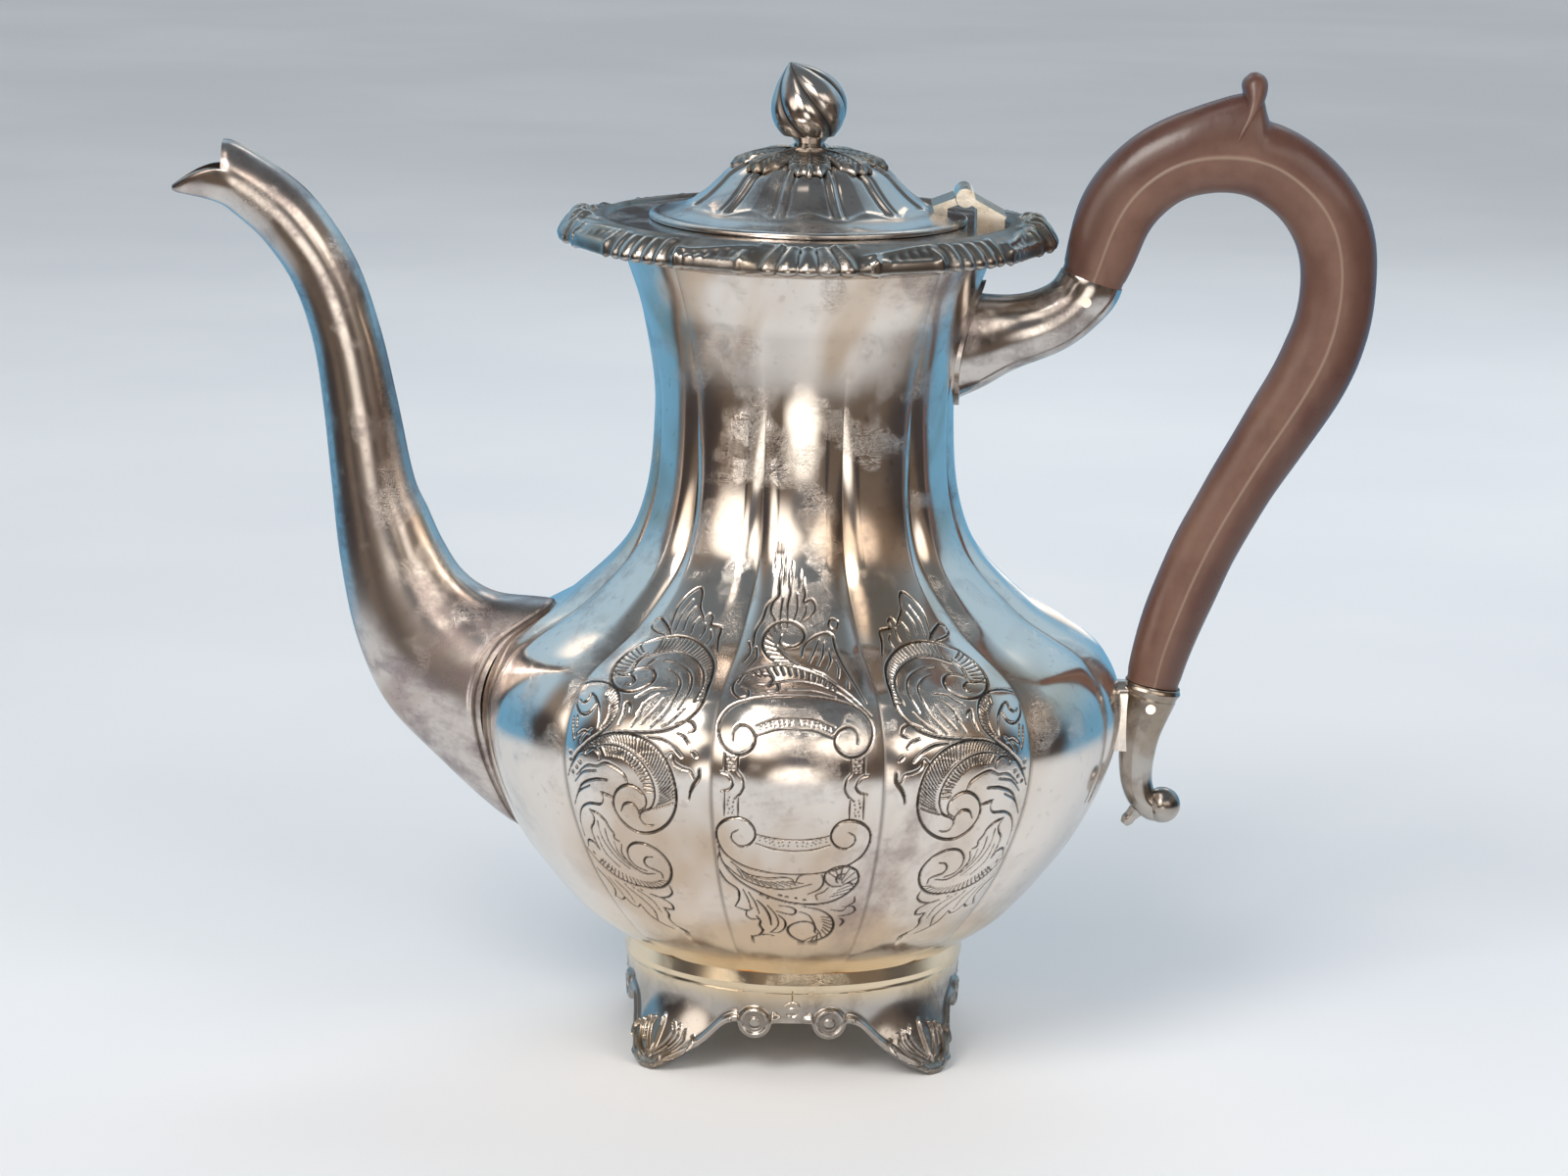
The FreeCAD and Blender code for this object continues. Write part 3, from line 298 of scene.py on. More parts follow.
silverFinishes = {
    # clean metal, warm blush, tarnish cloud, colour in the cuts,
    # cloud size, cloud amount, roughness, ripple
    "platedShell": ((0.79, 0.725, 0.665), (0.62, 0.49, 0.375), (0.33, 0.255, 0.235), (0.075, 0.06, 0.05),
                    17.0, 0.5, 0.13, 0.1),
    "platedSpout": ((0.68, 0.62, 0.575), (0.47, 0.38, 0.34), (0.25, 0.195, 0.205), (0.05, 0.04, 0.035),
                    24.0, 0.7, 0.18, 0.09),
    # the cast work: the same silver as the shell, with its clean metal made darker as painted shade, and its
    # own tarnish
    "castSilverPaintedShade": ((0.48, 0.445, 0.41), (0.34, 0.28, 0.22), (0.17, 0.14, 0.13), (0.05, 0.04, 0.033),
                   40.0, 0.55, 0.17, 0.03),
    # the lid and some kept mounts: the same silver, with its clean metal made darker as painted shade, and
    # its own tarnish
    "lidAndMountSilverPaintedShade": ((0.6, 0.555, 0.52), (0.42, 0.35, 0.3), (0.22, 0.18, 0.18), (0.045, 0.036, 0.03),
                  30.0, 0.55, 0.14, 0.06),
    "wornBrass": ((0.74, 0.7, 0.62), (0.66, 0.57, 0.42), (0.34, 0.28, 0.22), (0.06, 0.045, 0.03),
                  90.0, 0.45, 0.24, 0.03),
}

# a golden band low on the pot: golden tarnish, made brighter all round as a painted highlight
goldTarnishAndHighlight = {"colour": (0.88, 0.71, 0.47, 1.0), "share": 0.75,
           "above": (0.052, 0.024), "below": (0.017, 0.024)}  # heights in metres over which it fades

def tone(colour):
    return (*colour, 1.0)

def silverMaterial(name, values):
    clean, blush, cloud, cut, size, amount, roughness, wave = values
    material = bpy.data.materials.new(name)
    material.use_nodes = True
    tree = material.node_tree
    tree.nodes.clear()
    clouds = placeGroup(tree, tarnishClouds, Size=size, Amount=amount)
    swirls = placeGroup(tree, polishingSwirls, Size=55.0)
    cavity = node(tree, "ShaderNodeAttribute", set_attribute_name="cavity").outputs["Fac"]
    colour = mixNode(tree, clouds["Blush"], tone(clean), tone(blush))
    colour = mixNode(tree, mathNode(tree, "MULTIPLY", clouds["Clouds"], 0.75), colour, tone(cloud))
    colour = mixNode(tree, mathNode(tree, "MULTIPLY", clouds["Specks"], 0.25), colour, tone(cloud))
    place = node(tree, "ShaderNodeTexCoord").outputs["Object"]
    low = node(tree, "ShaderNodeSeparateXYZ", i0=place).outputs["Z"]
    # the golden band low on the pot: golden tarnish and a painted highlight
    goldBandShare = mathNode(tree, "MULTIPLY", rangeNode(tree, low, *goldTarnishAndHighlight["above"]),
                      rangeNode(tree, low, *goldTarnishAndHighlight["below"], 0.0, goldTarnishAndHighlight["share"]))
    colour = mixNode(tree, goldBandShare, colour, goldTarnishAndHighlight["colour"])
    colour = mixNode(tree, cavity, colour, tone(cut))
    rough = mathNode(tree, "MULTIPLY_ADD", clouds["Clouds"], 0.10, roughness)
    rough = mathNode(tree, "MULTIPLY_ADD", clouds["Blush"], 0.05, rough)
    rough = mathNode(tree, "MULTIPLY_ADD", swirls["Lines"], 0.16, rough)
    rough = mathNode(tree, "MULTIPLY_ADD", cavity, 0.30, rough)
    height = mathNode(tree, "MULTIPLY_ADD", swirls["Ripple"], wave * 6.0,
                      mathNode(tree, "MULTIPLY", swirls["Lines"], -0.02))
    bump = node(tree, "ShaderNodeBump", Height=height, Strength=1.0, Distance=0.001)
    shader = node(tree, "ShaderNodeBsdfPrincipled", Base_Color=colour, Roughness=rough, Metallic=1.0,
                  Normal=bump.outputs[0])
    node(tree, "ShaderNodeOutputMaterial", Surface=shader.outputs[0])
    return material

finishes = {name: silverMaterial(name, values) for name, values in silverFinishes.items()}

composition = {
    "body": (0.118, 0.054, 0.038), "faded": (0.165, 0.086, 0.060), "dark": (0.058, 0.025, 0.021),
    "line": (0.27, 0.19, 0.14), "rough": 0.38,
}

def compositionMaterial(values):
    # brown composition: a soft mottle, darker on the outer side that the "outside" attribute marks, with fine
    # streaks and a pale mould line from the "line" attribute
    material = bpy.data.materials.new("brownComposition")
    material.use_nodes = True
    tree = material.node_tree
    tree.nodes.clear()
    place = node(tree, "ShaderNodeTexCoord").outputs["Object"]
    mottle = noiseNode(tree, place, 60.0, 5.0, 0.6)
    drawn = node(tree, "ShaderNodeMapping", Vector=place, Scale=(1.0, 1.0, 0.25)).outputs[0]
    streaks = noiseNode(tree, drawn, 260.0, 3.0)
    pale = node(tree, "ShaderNodeAttribute", set_attribute_name="line").outputs["Fac"]
    outside = node(tree, "ShaderNodeAttribute", set_attribute_name="outside").outputs["Fac"]
    colour = mixNode(tree, rangeNode(tree, mottle, 0.35, 0.68), tone(values["body"]), tone(values["faded"]))
    colour = mixNode(tree, mathNode(tree, "MULTIPLY", outside, 0.62), colour, tone(values["dark"]))
    colour = mixNode(tree, mathNode(tree, "MULTIPLY", rangeNode(tree, streaks, 0.5, 0.75), 0.18), colour,
                     tone(values["dark"]))
    colour = mixNode(tree, mathNode(tree, "MULTIPLY", pale, 0.8), colour, tone(values["line"]))
    rough = mathNode(tree, "MULTIPLY_ADD", mottle, 0.22, values["rough"] - 0.08)
    rough = mathNode(tree, "MULTIPLY_ADD", outside, -0.13, rough)
    bump = node(tree, "ShaderNodeBump", Height=streaks, Strength=0.25, Distance=0.0004)
    shader = node(tree, "ShaderNodeBsdfPrincipled", Base_Color=colour, Roughness=rough,
                  Normal=bump.outputs[0])
    shader.inputs["Specular IOR Level"].default_value = 0.55
    node(tree, "ShaderNodeOutputMaterial", Surface=shader.outputs[0])
    return material

finishes["composition"] = compositionMaterial(composition)
print("finishes are ready")

# tools for surfaces

def smoothRead(knots, values, at):
    # cubic through the knots whose slope at a knot is that of the line between its neighbours
    knots, values = np.asarray(knots, float), np.asarray(values, float)
    flat = values.ndim == 1
    values = values.reshape(len(knots), -1)
    index = np.arange(len(knots))
    before, after = np.maximum(index - 1, 0), np.minimum(index + 1, len(knots) - 1)
    slope = (values[after] - values[before]) / (knots[after] - knots[before])[:, None]
    at = np.asarray(at, float)
    start = np.clip(np.searchsorted(knots, at.ravel()) - 1, 0, len(knots) - 2)
    span = (knots[start + 1] - knots[start])[:, None]
    share = (at.ravel() - knots[start])[:, None] / span
    rise = values[start + 1] - values[start]
    bend = (slope[start] * span - rise) * (1 - share) + (rise - slope[start + 1] * span) * share
    read = values[start] + share * rise + share * (1 - share) * bend
    return read.reshape(at.shape) if flat else read.reshape(at.shape + (values.shape[1],))

def curveThrough(points, count):
    # smooth line through the points, with the length of the straight runs between them as its parameter
    points = np.asarray(points, float)
    run = np.concatenate([[0], np.cumsum(np.linalg.norm(np.diff(points, axis=0), axis=1))])
    return smoothRead(run, points, np.linspace(0, run[-1], count))

def ease(value, low, high):
    # 0 below low, 1 above high, and a smooth cubic step between them
    share = np.clip((value - low) / (high - low), 0, 1)
    return share * share * (3 - 2 * share)

def bell(value, width):
    return np.exp(-(value / width) ** 2)

def turned(radius, angle, height):
    # places round the upright axis, from a radius, an angle and a height
    return np.stack([radius * np.cos(angle), radius * np.sin(angle), height], -1)

def surfaceNormals(points, wrapRows=False, wrapColumns=False):
    # cross product of the surface's two central differences, made unit length
    along = [points, points]
    for axis, wraps in enumerate((wrapRows, wrapColumns)):
        if wraps:
            along[axis] = np.roll(points, -1, axis) - np.roll(points, 1, axis)
        else:
            along[axis] = np.gradient(points, axis=axis)
    normal = np.cross(along[0], along[1])
    return normal / np.maximum(np.linalg.norm(normal, axis=-1, keepdims=True), 1e-9)

def gridFaces(rows, columns, wrapRows=False, wrapColumns=False, start=0, inward=False):
    first, second = np.meshgrid(np.arange(rows - (not wrapRows)), np.arange(columns - (not wrapColumns)),
                                indexing="ij")
    nextFirst, nextSecond = (first + 1) % rows, (second + 1) % columns
    quads = np.stack([first * columns + second, nextFirst * columns + second,
                      nextFirst * columns + nextSecond, first * columns + nextSecond], -1)
    quads = quads.reshape(-1, 4) + start
    return quads[:, ::-1] if inward else quads

def makePiece(name, points, faces, material, body="pot", slot="silver_plate", replaced=(), sharp=50,
              **attributes):
    # points in millimetres; faces are arrays, each of faces with the same number of corners
    mesh = bpy.data.meshes.new(name)
    points = np.asarray(points, float).reshape(-1, 3) * millimetre
    mesh.vertices.add(len(points))
    mesh.vertices.foreach_set("co", points.ravel())
    corners = np.concatenate([np.asarray(group).ravel() for group in faces])
    counts = np.concatenate([np.full(len(group), np.asarray(group).shape[1]) for group in faces])
    mesh.loops.add(len(corners))
    mesh.loops.foreach_set("vertex_index", corners.astype(np.int32))
    mesh.polygons.add(len(counts))
    mesh.polygons.foreach_set("loop_start", np.concatenate([[0], np.cumsum(counts)[:-1]]).astype(np.int32))
    mesh.polygons.foreach_set("use_smooth", np.ones(len(counts), bool))
    mesh.update(calc_edges=True)
    mesh.validate()
    mesh.set_sharp_from_angle(angle=np.radians(sharp))
    for label, values in attributes.items():
        layer = mesh.attributes.new(label, "FLOAT", "POINT")
        layer.data.foreach_set("value", np.asarray(values, np.float32).ravel())
    mesh.materials.append(finishes[material])
    piece = bpy.data.objects.new(name, mesh)
    scene.collection.objects.link(piece)
    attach(piece, body)
    if replaced:
        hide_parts(*replaced)
    return piece

def shellParts(outer, inner, wrapRows=False, start=0):
    # closed thin wall: outer skin, inner skin turned round, and strips that join their free edges
    rows, columns = outer.shape[:2]
    innerRows = inner.shape[0]
    count = rows * columns
    points = np.concatenate([outer.reshape(-1, 3), inner.reshape(-1, 3)])
    faces = [gridFaces(rows, columns, wrapRows, start=start),
             gridFaces(innerRows, columns, wrapRows, start=start + count, inward=True)]
    outerIndex = np.arange(count).reshape(rows, columns) + start
    innerIndex = np.arange(innerRows * columns).reshape(innerRows, columns) + start + count
    if not wrapRows:
        for edge, way in ((0, 1), (-1, -1)):
            one, two = outerIndex[edge][::way], innerIndex[edge][::way]
            faces.append(np.stack([one[:-1], one[1:], two[1:], two[:-1]], -1))
    for edge, way in ((0, -1), (-1, 1)):
        one, two = outerIndex[:, edge][::way], innerIndex[:, edge][::way]
        if wrapRows:
            faces.append(np.stack([one, np.roll(one, -1), np.roll(two, -1), two], -1))
        elif rows == innerRows:
            faces.append(np.stack([one[:-1], one[1:], two[1:], two[:-1]], -1))
        else:
            faces.append(np.concatenate([one, two[::-1]])[None])
    return points, faces

def outsideFirst(values, count, rest=0.0):
    # an attribute given for a shell's outer skin, with one value for all the points after it
    full = np.full(count, rest)
    full[:values.size] = values.ravel()
    return full

def facing(points):
    # 1 where the grid's normals already point away from its middle, and -1 where they point in
    return np.sign(((points - points.mean(0)) * surfaceNormals(points, wrapRows=True)).sum())

def capFan(ring, centreIndex, inward=False):
    following = np.roll(ring, -1)
    centre = np.full(len(ring), centreIndex)
    return np.stack([following, ring, centre] if inward else [ring, following, centre], -1)

def joinBlocks(blocks):
    # blocks of (points, faces) put into one list of points, with their faces counted on
    allPoints, allFaces, start = [], [], 0
    for points, faces in blocks:
        flat = points.reshape(-1, 3)
        allPoints.append(flat)
        allFaces += [np.asarray(group) + start for group in faces]
        start += len(flat)
    return np.concatenate(allPoints), allFaces

def closedTube(points):
    # a grid whose rows run round a tube and columns along it, with both ends closed by a point
    around, along = points.shape[:2]
    ends = np.stack([points[:, 0].mean(0), points[:, -1].mean(0)])
    index = np.arange(around * along).reshape(around, along)
    faces = [gridFaces(around, along, True),
             capFan(index[:, 0], around * along, True), capFan(index[:, -1], around * along + 1)]
    return np.concatenate([points.reshape(-1, 3), ends]), faces

def pathFrame(centres):
    # unit vector across a path that lies in the xz plane: its direction turned a quarter, z to x and x to -z
    along = np.gradient(centres, axis=0)
    along /= np.linalg.norm(along, axis=1, keepdims=True)
    return np.stack([along[:, 2], 0 * along[:, 0], -along[:, 0]], -1)

# body: twelve lobes, six of them chased

bodyValues = {
    "outline": [(27.5, 43.5), (38, 57.7), (60, 74.6), (86, 83.5), (104, 78), (116, 59.5), (134, 43.2),
                (165, 38.2), (190, 41.6), (205, 46.5)],  # height, crest radius
    "creaseShare": [(27.5, 0.15), (60, 0.6), (86, 0.78), (116, 1.0), (134, 0.8), (165, 0.25), (190, 0.04),
                    (205, 0.04)],
    "creaseDepth": 2.6,
    "wall": 1.0,
    "grooveDepth": 0.50,
    "chasedFrom": 41.0, "chasedTo": 128.0,  # heights between which the mesh is fine
    "fineStep": 0.29,                       # along a chased lobe
    "chasedAcross": 157, "plainAcross": 41, "plainAlong": 130, "innerColumns": 7,
}
halfLobe = np.pi / 12

def readPairs(pairs, at):
    pairs = np.array(pairs)
    return smoothRead(pairs[:, 0], pairs[:, 1], at)

def crestRadius(height):
    return readPairs(bodyValues["outline"], height)

def creaseDepth(height):
    return bodyValues["creaseDepth"] * readPairs(bodyValues["creaseShare"], height)

bodyLow, bodyHigh = bodyValues["outline"][0][0], bodyValues["outline"][-1][0]
widest = 86.0  # height, from which lengths along the outline are counted
lengthHeights = np.linspace(bodyLow, bodyHigh, 1800)
lengthSteps = np.hypot(np.diff(lengthHeights), np.diff(crestRadius(lengthHeights)))
lengthAlong = np.concatenate([[0], np.cumsum(lengthSteps)])
lengthAlong -= np.interp(widest, lengthHeights, lengthAlong)

def lobeSurface(middle, across, height):
    # across runs from -1 to 1 between two creases: a lobe stays full over its middle and turns down to them
    bevel = np.clip((np.abs(across) - 0.55) / 0.45, 0, 1) ** 1.6
    fullness = np.abs(across) ** 2.4
    share = 0.35 + 0.6 * ease(height, 100, 120)
    radius = crestRadius(height) - creaseDepth(height) * (fullness * (1 - share) + bevel * share)
    return turned(radius, middle + across * halfLobe, height)

# chased lines: (half width, points). Places are millimetres across the lobe from its middle, and along its
# outline from the widest height.

def mirrored(strokes, middle=0.0):
    return [(width, [(2 * middle - x, y) for x, y in points]) for width, points in strokes]

def hatch(lineA, lineB, count, share=(0.08, 0.8), width=0.22, lean=0.0):
    # short lines that start on one curve and lean towards another
    steps = 90
    one, two = curveThrough(lineA, steps), curveThrough(lineB, steps)
    at = np.linspace(2, steps - 4, count).astype(int)
    other = np.clip(at + int(lean * steps), 0, steps - 1)
    start = one[at] + (two[other] - one[at]) * share[0]
    end = one[at] + (two[other] - one[at]) * share[1]
    middle = (start + end) / 2 + (one[np.minimum(at + 1, steps - 1)] - one[at]) * 0.3
    return [(width, [tuple(a), tuple(m), tuple(b)]) for a, m, b in zip(start, middle, end)]

def stipple(lineA, lineB, count, width=0.26):
    # dots in rows between two curves, each a very short line
    random = np.random.default_rng(count)
    one, two = curveThrough(lineA, count), curveThrough(lineB, count)
    dots = []
    for share in (0.3, 0.62):
        spots = one + (two - one) * share + random.uniform(-0.25, 0.25, one.shape)
        dots += [(width, [tuple(spot), tuple(spot + 0.18)]) for spot in spots[1:-1]]
    return dots

def cartouche():
    middle = -0.8
    topHalf = [(-16.3, 10.8), (-16.2, 13), (-14.5, 14.9), (-12, 14.4), (-10.6, 12.4), (-10.9, 10),
               (-12.8, 8.1),
               (-15.5, 7.5), (-18.7, 9), (-20.2, 12), (-19.8, 15.5), (-16.8, 19.3), (-12, 22), (-6, 23.6),
               (-0.8, 24)]
    lowHalf = [(-14.5, -12.2), (-16, -13.4), (-16.1, -15.3), (-14.2, -17), (-12, -16.6), (-10.3, -14.5),
               (-10.3, -12), (-11.8, -9.6), (-14.5, -8.7), (-18, -9.8), (-20.1, -12.6), (-20, -16),
               (-17.8, -20),
               (-13, -23.2), (-6.5, -24.9), (-0.8, -25.2)]
    bandTop = [[(-10.4, 15), (-5.5, 17.1), (-0.8, 17.5)], [(-10.4, 12.4), (-5.5, 14.2), (-0.8, 14.6)]]
    bandLow = [[(-10.2, -13), (-5.5, -14.1), (-0.8, -14.4)], [(-10, -15.8), (-5.5, -17.3), (-0.8, -17.7)]]
    sideOut = [[(-18.2, 7.4), (-18.2, 3.1)], [(-19, 2.8), (-17.3, 2.5), (-16.1, 0.6), (-16.9, -1.1),
                                              (-18.9, -1.9)],
               [(-18.2, -2), (-18.1, -8.6)]]
    sideIn = [[(-14.8, 7), (-14.8, 3.6), (-13.6, 2), (-13.3, 0), (-14.1, -2), (-15.2, -3.2)],
              [(-14.6, -3.3), (-14.5, -8.5)]]
    half = [(0.5, topHalf), (0.5, lowHalf)]
    half += [(0.36, line) for line in bandTop + bandLow + sideOut + sideIn]
    half += stipple(bandTop[0], bandTop[1], 9) + stipple(bandLow[0], bandLow[1], 9)
    half += stipple(sideOut[0], [(-14.8, 7.2), (-14.8, 3.4)], 6) + stipple(sideOut[2], sideIn[1], 7)
    return half + mirrored(half, middle)

def centreSprays():
    sweep = [(-19.7, -18), (-18.6, -22.5), (-15, -27.5), (-10, -31.2), (-4, -34.3), (2, -35.7), (8, -35.2),
             (13, -32), (15.8, -28), (15.4, -24.6), (12.8, -22.7), (9.8, -23), (7.5, -24.8), (7.3, -27.2),
             (9, -29.2), (11.2, -29.2)]
    under = [(-18.4, -23), (-13, -27.6), (-7.5, -29.9), (-1.5, -30.2), (4, -28.4)]
    spiral = [(2, -36.6), (6.2, -38), (9, -41), (9.8, -45), (8.4, -49), (5, -51.5), (1.8, -51.5), (-0.9, -49),
              (-1.6, -46), (-0.2, -43.8), (2.4, -42.7), (4.6, -43.7), (5.2, -45.8), (5.2, -47.6),
              (6.6, -48.3)]
    spiralIn = [(1.2, -38.6), (3.4, -40), (4.6, -42.6), (5.4, -45.5), (6.6, -48.1)]
    strokes = [(0.55, sweep), (0.42, under), (0.55, spiral), (0.36, spiralIn)]
    for width, points in (
        (0.42, [(-16.2, -22.3), (-12, -25.8), (-7, -26.8), (-3, -26.3), (-0.9, -26.8), (-0.1, -28.4)]),
        (0.36, [(0.1, -28), (0.9, -25.9), (3, -24.9)]),
        (0.42, [(6.4, -25.2), (7, -27.8), (5.9, -30.2), (3.2, -31.9)]),
        (0.36, [(8.2, -29.6), (7, -31.2), (5.2, -32.3), (5.5, -34)]),
        (0.45, [(12.4, -25.2), (10.9, -25.4), (10.1, -26.9), (10.6, -28.3)]),
        (0.42, [(12, -28.6), (13.7, -28.3), (14.5, -29.6)]),
        (0.5, [(-19.6, -20), (-19.8, -24.5), (-17.4, -29), (-14.4, -31.5), (-14, -35), (-15, -38)]),
        (0.42, [(-15, -38), (-13, -38.9), (-11.4, -39), (-10.4, -38)]),
        (0.42, [(-12, -39.2), (-12, -41.4), (-10.6, -42.6), (-8.9, -42.2)]),
        (0.5, [(-9.5, -41), (-8.5, -43.2), (-8.6, -45.2), (-7.8, -47.2), (-8.4, -49), (-10, -50.4)]),
        (0.55, [(-10.6, -50), (-10.2, -52.6)]),
        (0.5, [(-9.4, -34.8), (-7.5, -37.6), (-6.2, -41), (-5.7, -44.8)]),
        (0.34, [(-13, -31.2), (-11.6, -35), (-11, -38)]),
        (0.34, [(-11.6, -32), (-9.8, -36), (-8.8, -40)]),
        (0.42, [(-4, -40.2), (-2.4, -42.6), (-2.3, -45.6), (-3.8, -47.8), (-5.4, -48)]),
        (0.34, [(-6.8, -36.5), (-4.6, -40.5), (-4, -44.6), (-5.8, -48)]),
        (0.45, [(-10, -50), (-7, -49), (-5, -49.3)]),
        (0.45, [(-4, -36.4), (-1, -37), (0.3, -38.4), (-0.2, -39.8), (-2.2, -39.6), (-4.6, -38.6)]),
        (0.36, [(9, -38), (12, -38.5), (13, -37)]),
        (0.42, [(13, -36.9), (15, -35.4), (15, -33.4)]),
        (0.42, [(12, -37), (14.5, -37), (15.3, -38.6), (14, -40.1), (11, -40.7)]),
        (0.55, [(11.4, -41.6), (12.3, -43), (11.5, -45)]),
        (0.42, [(-8, -33), (-8.8, -32.6)]), (0.5, [(-6.9, -33.6), (-6.6, -34)]), (0.5, [(-4.2, -32.4),
                                                                                        (-3.2, -32.7)]),
        (0.5, [(-2.4, -32.9), (-1.6, -33.2)]), (0.5, [(0, -33.2), (0.4, -33.7)]), (0.55, [(2, -34),
                                                                                          (2.7, -34.2)]),
    ):
        strokes.append((width, points))
    strokes += hatch(sweep[7:13], [(5.5, -34), (8, -31.5), (11, -30), (13, -28.5)], 9, (0.06, 0.6))
    strokes += hatch(spiral[2:7], [(5, -40), (5.8, -43), (6, -46), (6.6, -48.3)], 10, (0.06, 0.62))
    strokes += hatch([(-15, -24), (-9, -27.4), (-2, -27.4)], under[1:5], 11, (0.1, 0.75))
    # above the cartouche: a leaf that sweeps over it, a big spiral, side leaves, and a flame with a drop
    over = [(18.4, 17), (14.5, 21.5), (10, 26.5), (5.5, 31), (0, 33.9), (-5, 34.9), (-10, 33.4),
            (-13.8, 30.6),
            (-15.4, 27)]
    eye = [(-4.6, 34.8), (-8, 38), (-9.4, 41.8), (-8.3, 45.6), (-5.8, 48.3), (-2.4, 48.8), (0.2, 47),
           (1, 44.2),
           (-0.6, 41.8), (-3.2, 41.2), (-5, 42.6), (-4.6, 44.6)]
    strokes += [(0.5, over), (0.55, eye)]
    for width, points in (
        (0.45, [(-15, 29.4), (-16.6, 26.6), (-16.6, 23.8), (-14.8, 22.2), (-12.7, 23), (-12.6, 25),
                (-14.4, 25.8)]),
        (0.36, [(-0.3, 35), (-3.6, 38.2), (-5.6, 41.2)]),
        (0.36, [(15, 19.5), (10, 24.4), (4, 28), (-2, 29), (-7.6, 27.6)]),
        (0.34, [(9, 23.4), (3, 25.6), (-3, 25.8)]),
        (0.36, [(-13.6, 28.4), (-11, 30.6), (-8, 31.2), (-6.4, 29.6), (-7.6, 27.6), (-10.6, 27)]),
        (0.36, [(-7.6, 26.6), (-5.6, 28.2), (-5.2, 25.6), (-8, 24.8)]),
        (0.5, [(0.4, 38), (1, 41.6), (3.2, 44.2), (6.2, 45.6), (7.8, 44.8), (8.6, 41.4), (10.2, 36.5),
               (13, 29.6), (17, 20.5)]),
        (0.36, [(2.2, 35.8), (3.4, 39.6), (4.6, 43.4)]), (0.36, [(4.4, 34.6), (5.6, 38.6), (5.8, 42.6)]),
        (0.36, [(6.6, 33), (7.6, 36.8), (7, 40.6)]), (0.34, [(9.4, 30), (9.6, 33.6), (8.8, 36.6)]),
        (0.34, [(12, 26), (12, 29)]), (0.34, [(3, 33.4), (6, 31.6), (9, 28.4)]),
        (0.42, [(8.2, 46), (6.9, 48), (7.6, 49.8), (9.1, 49.2), (9.2, 47.4), (8.1, 46.6)]),
        (0.5, [(-11.8, 40.5), (-11.4, 45), (-9.4, 49.5), (-8.2, 53.6), (-6.4, 55.4)]),
        (0.42, [(-6.2, 49), (-7.4, 52.2), (-6.6, 55), (-5.4, 56.8), (-5.4, 60.2), (-4, 62.4), (-3, 63.8)]),
        (0.42, [(-3, 63.8), (-1.6, 61.6), (0, 60.4), (1, 57.4), (0.8, 54.8), (2.6, 55.6), (3.6, 53.2),
                (2.6, 50.8), (0.8, 49.2)]),
        (0.36, [(-3.2, 49.6), (-3.2, 54), (-2.6, 58), (-3, 62)]), (0.34, [(-1.6, 49.6), (-0.8, 53),
                                                                          (-1, 57)]),
        (0.34, [(-5, 49.6), (-4.8, 53), (-4.4, 56)]), (0.34, [(0, 49), (1.2, 51.6), (1.4, 54)]),
        (0.45, [(-4.8, 64.4), (-6.6, 66.4), (-5.6, 68.2), (-3.8, 67.2), (-4.2, 65.2)]),
        (0.36, [(-14.2, 35), (-12.6, 38.6), (-13, 42)]), (0.34, [(-12.6, 33.6), (-10.8, 37), (-10.8, 40.6)]),
    ):
        strokes.append((width, points))
    strokes += hatch(eye[0:6], [(-0.3, 35), (-3.6, 38.2), (-5.6, 41.2), (-6.2, 43.6), (-5, 46), (-3, 47)], 11,
                     (0.06, 0.72))
    strokes += hatch(over[2:8], [(8.5, 24), (4, 27), (0, 28.6), (-4, 28.6), (-7.6, 28.4), (-10, 30)], 15,
                     (0.08, 0.6))
    return strokes

